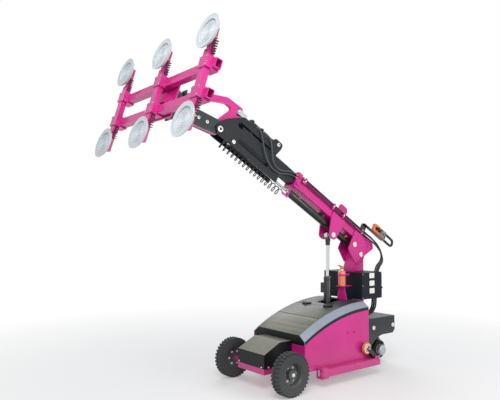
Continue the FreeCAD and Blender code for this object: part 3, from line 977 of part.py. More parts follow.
fork_end = cross_rod("tilt_fork", "tilt_fork_inner", FORK_OUT, "tilt_rod_tip", "tilt_barrel_above")
fork_pin = cross_rod("tilt_pin_small", f"-({FORK_OUT}) - tilt_head_out", f"{FORK_OUT} + tilt_head_out",
                     "tilt_rod_tip", "tilt_barrel_above")
node("tilt_rod", BOOM_FRAME, fuse(tilt_shaft, tilt_piston, fork_base, fork_side, mirrored(fork_side), fork_end,
                                  mirrored(fork_end), fork_pin))

# Tilting bracket: a curved arm between two bolted cheeks, carrying the slewing drive.
WINDOW_LOW = "cheek_high + arm_edge"
arm_plate = plate("-arm_plate_half", "arm_plate_half", ahead([
    ("lug_ahead - lug_round", "lug_above"), ("lug_ahead - lug_round / 2", "lug_above + lug_round"),
    ("arc_top_ahead", "arc_top_above"), ("arc_mid_ahead", "arc_mid_above"),
    ("cheek_front", "arc_front_above + arm_band / 2"), ("cheek_front", "0 - cheek_low"),
    ("0", "0 - cheek_rear"), ("0 - cheek_rear", "0")]),
    [("arm_corner", (0, 1, 7)), ("3 * arm_corner", (2, 3))])
arm_window = plate("-arm_plate_half - overrun", "arm_plate_half + overrun", ahead([
    ("lug_ahead + lug_round + arm_band / 2", "lug_above"), ("arc_top_ahead", "arc_top_above - arm_band"),
    ("arc_mid_ahead - arm_band / 2", "arc_mid_above - arm_band"), ("cheek_front - arm_band", WINDOW_LOW),
    ("arm_band / 2", WINDOW_LOW)]), [("window_corner", (0, 1, 2, 3, 4))])
arm_slot = ahead_box("-arm_plate_half - overrun", "arm_plate_half + overrun", "lug_ahead - lug_slot_half_y",
                     "lug_ahead + lug_slot_half_y", "lug_above - lug_slot_half_z", "lug_above + lug_slot_half_z")
TILT_BORE = "tilt_pin + 2 * fit_gap"
arm_bore = cross_rod(TILT_BORE, "-cheek_outer - overrun", "cheek_outer + overrun", "0", "0")
node("tilt_arm", TILT_FRAME, cut(arm_plate, arm_window, arm_slot, arm_bore))
cheek_plate = plate("arm_plate_half", "cheek_outer", ahead([
    ("0 - cheek_rear", "0"), ("0", "cheek_high"), ("cheek_front", "cheek_high"),
    ("cheek_front", "0 - cheek_low"), ("0", "0 - cheek_rear")]), [("cheek_rear / 2", (0, 1, 4))])
cheek_bored = cut(cheek_plate, cross_rod(TILT_BORE, "0", "cheek_outer + overrun", "0", "0"))
PLATE_FRONT = "cheek_front + nose_plate"
nose_plate = ahead_box("-nose_plate_half", "nose_plate_half", "cheek_front", PLATE_FRONT,
                       "frame_above - nose_plate_half", "frame_above + nose_plate_half")
bracket_bolts = []
for step in range(3):
    head = cross_rod("bracket_bolt", "cheek_outer", "cheek_outer + bracket_bolt_depth",
                     f"bracket_bolt_ahead + {step} * bracket_bolt_step", "bracket_bolt_above")
    bracket_bolts += [head, mirrored(head)]
node("tilt_cheeks", TILT_FRAME, fuse(cheek_bored, mirrored(cheek_bored), nose_plate), *bracket_bolts)
SLEW_FRONT = f"{PLATE_FRONT} + slew_depth"
slew_case = cut(ahead_rod("slew_diameter", PLATE_FRONT, f"{SLEW_FRONT} - seat_gap", "0", "frame_above"),
                ahead_rod("spindle_diameter + 2 * fit_gap", f"{SLEW_FRONT} - spindle_long - running_gap",
                          f"{SLEW_FRONT} + overrun", "0", "frame_above"))
slew_motor = ahead_rod("slew_motor", "cheek_front - slew_motor_long", "cheek_front",
                       "-(cheek_outer + bracket_bolt_depth + slew_motor / 2 + running_gap)", "frame_above")
node("slew_drive", TILT_FRAME, slew_case, slew_motor)

# Suction frame: two beams on the turning hub, three cross arms with pull-out tips, and six cups.
TIP_FRONT = "frame_ahead - lip_depth - cup_plate_wall - cup_neck_long"
TIP_REAR = f"{TIP_FRONT} - tip_deep"
ARM_FRONT = f"{TIP_FRONT} + (arm_deep - tip_deep) / 2"
ARM_REAR = f"{TIP_REAR} - (arm_deep - tip_deep) / 2"
BEAM_REAR = f"{ARM_REAR} - beam_deep"
BLOCK_REAR = f"{BEAM_REAR} - block_wall"
HUB_REAR = f"{BLOCK_REAR} - hub_plate_wall"
turn_plate = ahead_box("-hub_plate_half", "hub_plate_half", HUB_REAR, BLOCK_REAR,
                       "frame_above - hub_plate_half", "frame_above + hub_plate_half")
turn_ring = ahead_rod("turn_diameter", SLEW_FRONT, HUB_REAR, "0", "frame_above")
spindle = ahead_rod("spindle_diameter", f"{SLEW_FRONT} - spindle_long", SLEW_FRONT, "0", "frame_above")
manifold = ahead_box("-manifold_wide / 2", "manifold_wide / 2", BLOCK_REAR, f"{BLOCK_REAR} + manifold_deep",
                     "frame_above - manifold_tall / 2", "frame_above + manifold_tall / 2")
beams = []
for row in (-1, 1):
    middle = f"frame_above + {row} * beam_offset"
    beams.append(cut(
        ahead_box("-beam_half_long", "beam_half_long", BEAM_REAR, ARM_REAR, f"{middle} - beam_tall / 2",
                  f"{middle} + beam_tall / 2"),
        ahead_box("-beam_half_long - overrun", "beam_half_long + overrun", f"{BEAM_REAR} + beam_wall",
                  f"{ARM_REAR} - beam_wall", f"{middle} - beam_tall / 2 + beam_wall",
                  f"{middle} + beam_tall / 2 - beam_wall")))
node("frame_beams", TILT_FRAME, fuse(turn_plate, turn_ring, spindle, manifold), *beams)
COIL_OUT = "arm_wide / 2 + cup_coil / 2 + cup_tube / 2 + seat_gap"
FITTING_AT = "cup_coil_end + cup_tube / 2 + cup_fitting / 2 + seat_gap"
arms = []
blocks = []
cups = []
for column in (-1, 0, 1):
    u = f"{column} * column_step"
    arm = ahead_box(f"{u} - arm_wide / 2", f"{u} + arm_wide / 2", ARM_REAR, ARM_FRONT,
                    "frame_above - arm_half_long", "frame_above + arm_half_long")
    sockets = []
    for row in (-1, 1):
        near, far = (("arm_half_long - tip_inset", "row_step + tip_out") if row > 0 else
                     ("-(row_step + tip_out)", "-(arm_half_long - tip_inset)"))
        tip = ahead_box(f"{u} - tip_wide / 2", f"{u} + tip_wide / 2", TIP_REAR, TIP_FRONT,
                        f"frame_above + {near}", f"frame_above + {far}")
        sockets.append(tip)
        arms.append(tip)
        middle = f"frame_above + {row} * beam_offset"
        block = ahead_box(f"{u} - block_wide / 2", f"{u} + block_wide / 2", BLOCK_REAR,
                          f"{ARM_FRONT} + block_wall", f"{middle} - block_tall / 2",
                          f"{middle} + block_tall / 2")
        beam_way = ahead_box(f"{u} - block_wide", f"{u} + block_wide", BEAM_REAR, ARM_REAR,
                             f"{middle} - beam_tall / 2", f"{middle} + beam_tall / 2")
        arm_way = ahead_box(f"{u} - arm_wide / 2", f"{u} + arm_wide / 2", ARM_REAR, ARM_FRONT,
                            f"{middle} - block_tall", f"{middle} + block_tall")
        blocks.append(cut(block, beam_way, arm_way))
        v = f"frame_above + {row} * row_step"
        cup_plate = ahead_rod("cup_plate_diameter", f"{TIP_FRONT} + cup_neck_long", "frame_ahead - lip_depth",
                              u, v)
        neck = ahead_rod("cup_neck", TIP_FRONT, f"{TIP_FRONT} + cup_neck_long", u, v)
        fitting = ahead_rod("cup_fitting", f"{TIP_FRONT} + cup_neck_long - cup_fitting_back",
                            f"{TIP_FRONT} + cup_neck_long", f"{u} + {COIL_OUT}",
                            f"frame_above + {row} * ({FITTING_AT})")
        lip = cut(ahead_rod("cup_diameter", "frame_ahead - lip_depth", "frame_ahead", u, v),
                  ahead_rod("lip_bore", "frame_ahead - lip_depth - overrun", "frame_ahead + overrun", u, v))
        cups += [fuse(cup_plate, neck, fitting), lip]
    arms.append(cut(arm, *sockets))
node("frame_arms", TILT_FRAME, *arms)
node("frame_blocks", TILT_FRAME, *blocks)
node("suction_cups", TILT_FRAME, *cups)


# Hoses and coils.
def arc_between(start, tangent, end):
    """The arc that leaves start along tangent and reaches end."""
    chord = end - start
    along = Vector(chord).normalize()
    aside = tangent - along * tangent.dot(along)
    if aside.Length < 1e-9:
        return Part.makeLine(start, end)
    half = math.atan2(aside.Length, tangent.dot(along))
    middle = (start + end) * 0.5 + aside.normalize() * (chord.Length / 2 * math.tan(half / 2))
    return Part.Arc(start, middle, end).toShape()


def biarc(start, first, end, last):
    """Two arcs that join start to end with the given directions."""
    chord = end - start
    both = first + last
    slack = 2 * (1 - first.dot(last))
    reach = (-chord.dot(both) + math.sqrt(chord.dot(both) ** 2 + slack * chord.dot(chord))) / slack
    joint = (start + first * reach + end - last * reach) * 0.5
    meet = (joint - start - first * reach).normalize()
    return [arc_between(start, first, joint), arc_between(joint, meet, end)]


def swept(edges, diameter, start, direction):
    """A round tube along the joined edges."""
    section = Part.Wire([Part.makeCircle(diameter / 2, start, direction)])
    return Part.Wire(edges).makePipeShell([section], True, False)


def coil(start, axis, aside, radius, curls, length, diameter):
    """A curly hose: a helix of quarter-turn biarcs, with one straight diameter at each end."""
    upright = axis.cross(aside)
    turn = math.pi / 2
    rise = length / curls / (2 * math.pi)

    def at(angle):
        around = aside * (radius * math.cos(angle)) + upright * (radius * math.sin(angle))
        return start + around + axis * (rise * angle)

    def direction(angle):
        way = upright * (radius * math.cos(angle)) - aside * (radius * math.sin(angle)) + axis * rise
        return way.normalize()

    last = 4 * curls
    lead_in = at(0) - direction(0) * diameter
    edges = [Part.makeLine(lead_in, at(0))]
    for quarter in range(last):
        first, second = quarter * turn, (quarter + 1) * turn
        edges += biarc(at(first), direction(first), at(second), direction(second))
    edges.append(Part.makeLine(at(last * turn), at(last * turn) + direction(last * turn) * diameter))
    gap = min((at(step * turn / 4) - at(0)).Length for step in range(12, 24)) - diameter
    print(f"coil of {curls} curls: least gap to itself {gap:.2f} mm")
    return swept(edges, diameter, lead_in, direction(0))


def cord(points, diameter):
    """A hose on straight runs joined by tangent arcs."""
    edges = []
    here = points[0]
    radii = []
    for before, corner, after in zip(points, points[1:], points[2:]):
        come, go = corner - before, after - corner
        half = come.getAngle(go) / 2
        cutback = 0.45 * min(come.Length, go.Length)
        radii.append(cutback / math.tan(half))
        first = corner - Vector(come).normalize() * cutback
        second = corner + Vector(go).normalize() * cutback
        edges += [Part.makeLine(here, first), arc_between(first, Vector(come).normalize(), second)]
        here = second
    edges.append(Part.makeLine(here, points[-1]))
    tube_shape = swept(edges, diameter, points[0], points[1] - points[0])
    full = math.pi / 4 * diameter ** 2 * sum(edge.Length for edge in edges)
    filled = tube_shape.Volume / full
    print(f"hose {diameter:.0f} mm: least bend {min(radii):.0f} mm, volume share {filled:.3f}")
    return tube_shape


def boom_point(x, along, above):
    return Vector(x, -along, above)


side_way, ahead_way = Vector(1, 0, 0), Vector(0, -1, 0)
spiral_long = number("spiral_front") - number("spiral_rear")
spiral_drop = (number("stage_tip_eye") + number("spiral_coil") + number("spiral_tube")) / 2
spiral_above = number("stage_above") - spiral_drop - number("seat_gap")
spiral_start = boom_point(0, number("spiral_rear"), spiral_above)
node("spiral_hose", BOOM_FRAME, solid_piece(coil(
    spiral_start, ahead_way, side_way, number("spiral_coil") / 2, SPIRAL_CURLS, spiral_long,
    number("spiral_tube"))))
cup_coils = []
coil_ahead = (number("frame_ahead") - number("lip_depth") - number("cup_plate_wall") - number("cup_neck_long")
              - number("tip_deep") / 2)
coil_out = (number("arm_wide") + number("cup_coil") + number("cup_tube")) / 2 + number("seat_gap")
coil_start = number("beam_offset") + number("block_tall") / 2 + number("cup_tube") + number("seat_gap")
for column in (-1, 0, 1):
    for row in (-1, 1):
        along = Vector(0, 0, row)
        start = boom_point(column * number("column_step") + coil_out, coil_ahead,
                           number("frame_above") + row * coil_start)
        cup_coils.append(solid_piece(coil(start, along, ahead_way, number("cup_coil") / 2, CUP_CURLS,
                                          number("cup_coil_end") - coil_start, number("cup_tube"))))
node("cup_hoses", TILT_FRAME, *cup_coils)

# Routes: two hoses on the head, three from the boom's pipes to the box and three under the box.
HEAD_ROUTES = (
    ((71, 1288.8, 236), (72, 1350, 231), (80, 1420, 200), (82, 1490, 152), (82, 1575, 130), (82, 1655, 160),
     (82, 1710, 230), (82, 1755, 300), (76, 1810, 352), (58, 1858, 366), (53, 1898.9, 366)),
    ((71, 1288.9, 205), (72, 1350, 199), (80, 1420, 166), (82, 1495, 116), (82, 1595, 88), (82, 1695, 108),
     (82, 1785, 172), (82, 1855, 248), (78, 1915, 316), (60, 1974, 362), (53, 2038.8, 366)),
)
BUNDLE_ROUTES = (
    ((91.8, 1461.5, 1500.3), (93, 1518, 1467), (112, 1586, 1422), (146, 1646, 1364), (182, 1680, 1290),
     (214, 1676, 1212), (238, 1632, 1158), (256, 1556, 1124), (260, 1522, 1052)),
    ((91.8, 1480.9, 1533), (92.4, 1537, 1500), (100, 1610, 1452), (122, 1678, 1390), (150, 1716, 1310),
     (180, 1712, 1226), (206, 1656, 1164), (230, 1560, 1126), (236, 1524, 1052)),
    ((24, 1496.2, 1558.9), (24, 1552.5, 1525.6), (40, 1628, 1477), (78, 1700, 1410), (120, 1738, 1325),
     (156, 1732, 1236), (176, 1670, 1172), (204, 1562, 1130), (212, 1524, 1052)),
)
BOX_ROUTE = ((200, 1530, 778.7), (200, 1530, 715), (200, 1508, 650), (200, 1450, 602), (200, 1368, 588),
             (200, 1305, 612), (200, 1262, 655), (200, 1201.5, 684))
node("head_hoses", BOOM_FRAME, *[solid_piece(cord([boom_point(*p) for p in route], number("head_hose")))
                                 for route in HEAD_ROUTES])
node("boom_hoses", MAST_FRAME, *[solid_piece(cord([Vector(*p) for p in route], number("bundle_hose")))
                                 for route in BUNDLE_ROUTES])
box_strands = []
for place in (-1, 0, 1):
    shift = Vector(place * number("box_step"), 0, 0)
    box_strands.append(solid_piece(cord([Vector(*p) + shift for p in BOX_ROUTE], number("box_hose"))))
node("box_hoses", MAST_FRAME, *box_strands)

# Remote control on a cradle at the boom's rear, with two joysticks and a stop button.
CASE_FACE = "remote_x + remote_thick"
PANEL_FACE = f"{CASE_FACE} + panel_wall_out"
REMOTE_MID = "(remote_low + remote_high) / 2"
case = plate("remote_x", CASE_FACE, ahead([
    ("remote_rear", "remote_low"), ("remote_front", "remote_low"), ("remote_front", "remote_high"),
    ("remote_rear", "remote_high")]), [("remote_corner", (0, 1, 2, 3))])
remote_panel = cut(ahead_box(CASE_FACE, PANEL_FACE, "panel_rear", "panel_front", "remote_low + panel_inset",
                             "remote_high - panel_inset"),
                   cross_rod("stop_stem + 2 * fit_gap", "remote_x", f"{PANEL_FACE} + overrun", "stop_ahead",
                             REMOTE_MID))
grip_x = number("remote_x") + number("remote_thick") / 2
grip_mid = (number("remote_low") + number("remote_high")) / 2
grip_low, grip_high = grip_mid - number("handle_half"), grip_mid + number("handle_half")
grip_near, grip_far = number("remote_rear"), number("remote_rear") - number("handle_reach")
grip_path = [
    Part.makeLine(boom_point(grip_x, grip_near, grip_low), boom_point(grip_x, grip_far, grip_low)),
    Part.Arc(boom_point(grip_x, grip_far, grip_low),
             boom_point(grip_x, grip_far - number("handle_half"), grip_mid),
             boom_point(grip_x, grip_far, grip_high)).toShape(),
    Part.makeLine(boom_point(grip_x, grip_far, grip_high), boom_point(grip_x, grip_near, grip_high)),
]
grip = solid_piece(swept(grip_path, number("handle_tube"), boom_point(grip_x, grip_near, grip_low),
                         Vector(0, 1, 0)))
tray = ahead_box("cradle_post_x", CASE_FACE, "cradle_rear", "cradle_post_front", "remote_low - cradle_wall",
                 "remote_low")
post_low = ahead_box("cradle_post_x", "boom_half", "cradle_post_rear", "cradle_post_front", "boom_high",
                     "remote_low - cradle_wall")
stick_cups = [cut(cross_rod("stick_cup", CASE_FACE, f"{CASE_FACE} + stick_cup_out", along, REMOTE_MID),
                  cross_rod("stick_cup_bore", CASE_FACE, f"{CASE_FACE} + stick_cup_out + overrun", along,
                            REMOTE_MID))
              for along in ("stick_front", "stick_rear")]
node("remote_control", BOOM_FRAME, case, remote_panel, grip, fuse(tray, post_low), *stick_cups)


BALL_SHARES = ((-1, 0), (-0.866, 0.5), (-0.5, 0.866), (0, 1), (0.5, 0.866), (0.866, 0.5), (1, 0))
for label, along in (("joystick_front", "stick_front"), ("joystick_rear", "stick_rear")):
    foot = [(f"{out} * stick_ball / 2", f"{wide} * stick_ball / 2") for out, wide in BALL_SHARES[:4]]
    knob = [(f"stick_long + {out} * stick_knob / 2", f"{wide} * stick_knob / 2")
            for out, wide in BALL_SHARES[2:]]
    stem = [("0", "stick_stem / 2"), ("stick_long - stick_knob / 2", "stick_stem / 2")]
    pivot_x = f"{CASE_FACE} + seat_gap + stick_ball / 2"
    node(label, BOOM_FRAME, turned("X", foot + stem + knob, pivot_x, f"-({along})", REMOTE_MID))
STOP_FACE = f"{PANEL_FACE} + stop_rise"
stop_head = cross_rod("stop_diameter", STOP_FACE, f"{STOP_FACE} + stop_head", "stop_ahead", REMOTE_MID)
stop_stem = cross_rod("stop_stem", f"{CASE_FACE} + stop_travel + seat_gap", STOP_FACE, "stop_ahead", REMOTE_MID)
node("stop_button", BOOM_FRAME, fuse(stop_head, stop_stem))

doc.recompute()
for item in doc.Objects:
    if "Invalid" in item.State or "Error" in item.State:
        raise RuntimeError(f"{item.Label} did not build")
for part in nodes:
    if part.Shape.isNull() or not part.Shape.isValid() or not part.Shape.Solids:
        raise RuntimeError(f"{part.Label} has no sound solid")
    part.Shape.exportStep(f"parts/{part.Label}.step")
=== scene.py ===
# %% [markdown]
# # A glass panel lifter, dressed for the camera
# The machine is a small drivable crane: a wheeled chassis, a mast, a telescopic boom and a turning frame of
# suction cups. The solids already stand in the right places, so this lesson gives every surface its finish
# and remakes the pieces whose looks need more than a plain solid: tyres, cups, hoses and hand controls.

import json
import math

import bmesh
import bpy
from mathutils import Matrix, Vector


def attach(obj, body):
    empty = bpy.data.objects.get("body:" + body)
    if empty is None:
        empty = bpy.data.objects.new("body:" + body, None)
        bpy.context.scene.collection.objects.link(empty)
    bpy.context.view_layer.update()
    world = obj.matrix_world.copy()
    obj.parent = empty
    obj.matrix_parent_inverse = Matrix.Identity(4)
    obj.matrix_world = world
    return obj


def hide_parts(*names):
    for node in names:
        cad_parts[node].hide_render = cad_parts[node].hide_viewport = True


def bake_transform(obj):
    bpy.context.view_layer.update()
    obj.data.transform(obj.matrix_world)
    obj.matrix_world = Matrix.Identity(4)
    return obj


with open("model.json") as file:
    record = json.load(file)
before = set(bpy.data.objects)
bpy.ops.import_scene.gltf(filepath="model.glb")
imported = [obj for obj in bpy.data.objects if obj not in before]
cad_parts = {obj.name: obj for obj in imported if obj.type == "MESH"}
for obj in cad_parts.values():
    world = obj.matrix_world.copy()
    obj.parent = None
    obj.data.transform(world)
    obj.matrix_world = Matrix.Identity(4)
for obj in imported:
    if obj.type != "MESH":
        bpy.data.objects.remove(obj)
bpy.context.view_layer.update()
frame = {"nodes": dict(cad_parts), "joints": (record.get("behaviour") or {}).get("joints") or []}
nodes = frame["nodes"]
joints = {joint["name"]: joint for joint in frame["joints"]}
print("sub-parts:", len(nodes), "joints:", len(joints))

# %% [markdown]
# ## Two working frames
# The boom slopes and the suction head leans again on its tilt pin, so their pieces are easier to draw in
# frames of their own. Each frame comes from a joint: its place from the hinge, its slope from the axis that
# slides or turns there. A point is given as across, ahead and above, in metres.

# %% Working frames
ACROSS = Vector((1, 0, 0))


def leaning_frame(origin, forward):
    """A frame whose -Y looks along forward and whose X is the machine's own."""
    back = -Vector(forward).normalized()
    up = ACROSS.cross(back)
    turn = Matrix((ACROSS, back, up)).transposed().to_4x4()
    return Matrix.Translation(Vector(origin)) @ turn


BOOM = leaning_frame(joints["boom_lift"]["pos_m"], joints["boom_extend"]["axis"])
HEAD = leaning_frame(joints["frame_tilt"]["pos_m"], joints["frame_turn"]["axis"])


def on_boom(across, ahead, above):
    return BOOM @ Vector((across, -ahead, above))


def on_head(across, ahead, above):
    return HEAD @ Vector((across, -ahead, above))


print("boom slope:", round(math.degrees(math.asin(joints["boom_extend"]["axis"][2])), 1), "degrees")

# %% [markdown]
# ## Camera, floor and light
# The photograph was taken from the machine's front left, a little below the boom, with a normal lens. The
# lights are broad and soft, as under a bright overcast sky, and the floor fades into a white surround.

# %% Camera
CAMERA_PLACE = (4.231, -3.816, 1.563)
CAMERA_TOWARDS = (-0.7826, 0.6203, 0.0523)
CAMERA_LENS, SENSOR_WIDTH, SIGHT = 39.06, 36, 60
studio = bpy.context.scene


def looking(direction):
    """The turn of a camera or a lamp that looks along a direction."""
    return Vector(direction).to_track_quat("-Z", "Y").to_euler()


camera_data = bpy.data.cameras.new("camera")
camera_data.sensor_width = SENSOR_WIDTH
camera_data.sensor_fit = "HORIZONTAL"
camera_data.lens = CAMERA_LENS
camera_data.clip_end = SIGHT
camera = bpy.data.objects.new("camera", camera_data)
camera.location = CAMERA_PLACE
camera.rotation_euler = looking(CAMERA_TOWARDS)
studio.collection.objects.link(camera)
studio.camera = camera
studio.view_settings.view_transform = "Standard"
print("lens:", CAMERA_LENS, "mm")

# %% Lights and surround
SKY_TINT, SKY_STRENGTH = (0.86, 0.9, 0.95, 1), 0.46


def area_light(name, place, target, size, watts, tint=(1, 1, 1)):
    data = bpy.data.lights.new(name, "AREA")
    data.shape = "DISK"
    data.size = size
    data.energy = watts
    data.color = tint
    lamp = bpy.data.objects.new(name, data)
    lamp.location = place
    lamp.rotation_euler = looking(Vector(target) - Vector(place))
    studio.collection.objects.link(lamp)


def set_inputs(node, **values):
    """Sets inputs of a node. An underscore stands for the space in an input's name."""
    for socket, value in values.items():
        node.inputs[socket.replace("_", " ")].default_value = value


area_light("key_light", (3.6, -3.4, 5.4), (0, 0, 1.2), 3.2, 225, (1.0, 0.98, 0.95))
area_light("side_light", (5.2, 1.6, 2.4), (0, 0.3, 0.9), 2.6, 85)
area_light("rim_light", (-3.8, 2.6, 4.2), (0, -0.2, 1.4), 4.4, 95, (0.93, 0.97, 1.0))

world = bpy.data.worlds.new("studio")
world.use_nodes = True
studio.world = world
sky, sky_links = world.node_tree.nodes, world.node_tree.links
sky.clear()
ray = sky.new("ShaderNodeLightPath")
soft_sky = sky.new("ShaderNodeBackground")
set_inputs(soft_sky, Color=SKY_TINT, Strength=SKY_STRENGTH)
plain_white = sky.new("ShaderNodeBackground")
set_inputs(plain_white, Color=(1, 1, 1, 1))
choose = sky.new("ShaderNodeMixShader")
world_out = sky.new("ShaderNodeOutputWorld")
seen = None
for kind in ("Is Camera Ray", "Is Glossy Ray", "Is Transmission Ray"):
    total = sky.new("ShaderNodeMath")
    total.use_clamp = True
    total.inputs[0].default_value = 0.0
    if seen:
        sky_links.new(seen, total.inputs[0])
    sky_links.new(ray.outputs[kind], total.inputs[1])
    seen = total.outputs[0]
sky_links.new(seen, choose.inputs["Fac"])
sky_links.new(soft_sky.outputs[0], choose.inputs[1])
sky_links.new(plain_white.outputs[0], choose.inputs[2])
sky_links.new(choose.outputs[0], world_out.inputs["Surface"])
print("lights:", len(bpy.data.lights))

# %% [markdown]
# ## Finishes
# Every finish shares one recipe on object coordinates: a broad noise shifts the colour a little, a finer one
# varies the roughness, and a fine grain or a coat of dust gives the surface something to catch the light.
# The numbers change with the material: lacquer has a clear coat, chrome a finer grain, rubber a dull bloom.
# A second layer of fine scratches or dirt is mixed in by height or by noise.


# %% Colours and nodes
def srgb(red, green, blue):
    """A colour as seen on a screen, 0 to 255, made linear."""
    channels = []
    for value in (red, green, blue):
        share = value / 255
        channels.append(share / 12.92 if share <= 0.04045 else ((share + 0.055) / 1.055) ** 2.4)
    return (*channels, 1.0)


def shade(colour, factor):
    return (*(min(1.0, channel * factor) for channel in colour[:3]), 1.0)


class Recipe:
    """Small helpers round one material's node tree."""

    def __init__(self, name):
        self.material = bpy.data.materials.new(name)
        self.material.use_nodes = True
        self.tree = self.material.node_tree
        self.shader = self.tree.nodes["Principled BSDF"]
        self.coords = self.node("TexCoord").outputs["Object"]

    def link(self, source, target):
        self.tree.links.new(source, target)

    def node(self, kind, **values):
        node = self.tree.nodes.new("ShaderNode" + kind)
        set_inputs(node, **values)
        return node

    def stretched(self, scale):
        mapping = self.node("Mapping", Scale=scale)
        self.link(self.coords, mapping.inputs["Vector"])
        return mapping.outputs["Vector"]

    def noise(self, scale, detail, roughness=0.55, vector=None):
        node = self.node("TexNoise", Scale=scale, Detail=detail, Roughness=roughness)
        self.link(vector or self.coords, node.inputs["Vector"])
        return node.outputs["Fac"]

    def between(self, value, low, high, from_low=0.3, from_high=0.7):
        node = self.node("MapRange", From_Min=from_low, From_Max=from_high, To_Min=low, To_Max=high)
        self.link(value, node.inputs["Value"])
        return node.outputs["Result"]

    def mix(self, factor, first, second):
        node = self.node("Mix")
        node.data_type = "RGBA"
        for socket, value in (("A", first), ("B", second)):
            target = [s for s in node.inputs if s.name == socket and s.type == "RGBA"][0]
            if isinstance(value, tuple):
                target.default_value = value
            else:
                self.link(value, target)
        self.link(factor, node.inputs["Factor"])
        return [s for s in node.outputs if s.type == "RGBA"][0]

    def calculate(self, operation, *values):
        """One operation on one or two values, its result kept between 0 and 1."""
        node = self.node("Math")
        node.operation, node.use_clamp = operation, True
        for socket, value in zip(node.inputs, values):
            self.link(value, socket)
        return node.outputs[0]

    def looks(self, axis):
        """How far a face looks along an axis of its own piece."""
        geometry = self.node("NewGeometry")
        turn = self.node("VectorTransform")
        turn.vector_type, turn.convert_from, turn.convert_to = "NORMAL", "WORLD", "OBJECT"
        split = self.node("SeparateXYZ")
        self.link(geometry.outputs["True Normal"], turn.inputs[0])
        self.link(turn.outputs[0], split.inputs[0])
        return split.outputs[axis]

    def along(self, axis):
        """How far a place lies along an axis of its own piece."""
        split = self.node("SeparateXYZ")
        self.link(self.coords, split.inputs[0])
        return split.outputs[axis]

    def bump(self, height, strength, distance):
        node = self.node("Bump", Strength=strength, Distance=distance)
        self.link(height, node.inputs["Height"])
        self.link(node.outputs["Normal"], self.shader.inputs["Normal"])


# %% Finish recipe
# Scales of the noises, the grain's depth, and where the painted reflection on the hood's upper faces turns
# to painted shade along the machine.
BROAD, CLOUD, FINE, LINES = 2.6, 5.0, 38.0, 60.0
GRAIN_DEPTH = 0.0006
HOOD_FADE = (0.12, 0.52)
# How far a face looks up, where its painted sky reflection with dust begins and where it is full; then the
# same for faces that look aside and their painted shade.
UPWARD, ASIDE = (0.3, 0.9), (0.93, 0.97)
SCRATCH_STRETCH, SCRATCH_RANGE, SCRATCH_LIGHT = (0.35, 6.0, 6.0), (0.58, 0.72), 1.9
DUST_MOST = 0.34


def finish(name, colour, roughness, grain, bump, metallic=0.0, coat=0.0, mottle=0.16, spread=0.08,
           dust=None, dust_height=0.35, scratches=0.0, upper_reflection_and_dust=None, behind=None, flank_shade=None,
           coat_rough=0.06, specular=0.5):
    """The shared recipe: mottled colour, uneven gloss, a fine grain, and dust low down where asked. Faces
    that look up may get a painted sky reflection mixed with dust, which may turn to painted shade further
    back, and faces that look aside may get painted shade."""
    recipe = Recipe(name)
    broad = recipe.between(recipe.noise(BROAD, 4.0), 0.0, 1.0)
    colour_out = recipe.mix(broad, shade(colour, 1 - mottle), shade(colour, 1 + mottle * 0.7))
    fine = recipe.noise(FINE, 4.0, 0.6)
    # Faces that look up get a lighter colour: a painted sky reflection, mixed with some dust.
    if upper_reflection_and_dust:
        cloud = recipe.between(recipe.noise(CLOUD, 5.0), 0.0, 1.0)
        sky_reflection_dust = recipe.mix(cloud, shade(upper_reflection_and_dust, 0.82), shade(upper_reflection_and_dust, 1.1))
        # Painted shade: the upper faces turn darker towards the rear of the piece.
        if behind:
            sky_reflection_dust = recipe.mix(recipe.between(recipe.along("Y"), 0.0, 1.0, *HOOD_FADE), sky_reflection_dust, behind)
        colour_out = recipe.mix(recipe.between(recipe.looks("Z"), 0.0, 1.0, *UPWARD), colour_out, sky_reflection_dust)
    # Faces that look aside get painted shade.
    if flank_shade:
        sideways = recipe.calculate("ABSOLUTE", recipe.looks("X"))
        colour_out = recipe.mix(recipe.between(sideways, 0.0, 1.0, *ASIDE), colour_out, flank_shade)
    if scratches:
        lines = recipe.noise(LINES, 5.0, 0.7, recipe.stretched(SCRATCH_STRETCH))
        marks = recipe.between(lines, 0.0, scratches, *SCRATCH_RANGE)
        colour_out = recipe.mix(marks, colour_out, shade(colour, SCRATCH_LIGHT))
    if dust:
        low = recipe.between(recipe.along("Z"), DUST_MOST, 0.0, 0.0, dust_height)
        patch = recipe.calculate("MULTIPLY", low, recipe.between(fine, 0.25, 1.0))
        colour_out = recipe.mix(patch, colour_out, dust)
    recipe.link(colour_out, recipe.shader.inputs["Base Color"])
    uneven = recipe.between(fine, max(0.02, roughness - spread), min(1.0, roughness + spread))
    recipe.link(uneven, recipe.shader.inputs["Roughness"])
    recipe.bump(recipe.noise(grain, 2.0), bump, GRAIN_DEPTH)
    set_inputs(recipe.shader, Metallic=metallic, Specular_IOR_Level=specular)
    if coat:
        set_inputs(recipe.shader, Coat_Weight=coat, Coat_Roughness=coat_rough)
    return recipe.material


# %% Finishes
# After the colour come the roughness, the grain's scale and its strength.
DUST = srgb(150, 140, 125)
magenta_paint = finish("magenta_paint", srgb(203, 26, 132), 0.36, 420, 0.05, coat=0.3, mottle=0.1, dust=DUST,
                       dust_height=0.4, specular=0.4)
# On the hood the faces that look up carry a painted sky reflection with some dust, which turns to painted
# shade at the level rear.
hood_lacquer = finish("hood_lacquer", srgb(15, 19, 21), 0.42, 260, 0.03, coat=0.1, mottle=0.14,
                      scratches=0.04, upper_reflection_and_dust=srgb(108, 107, 92), behind=srgb(52, 58, 57), coat_rough=0.24,
                      specular=0.22)
head_paint = finish("head_paint", srgb(17, 23, 29), 0.46, 520, 0.07, mottle=0.2, scratches=0.05,
                    specular=0.3)
box_paint = finish("box_paint", srgb(8, 16, 29), 0.5, 900, 0.14, mottle=0.2, spread=0.1, specular=0.22)
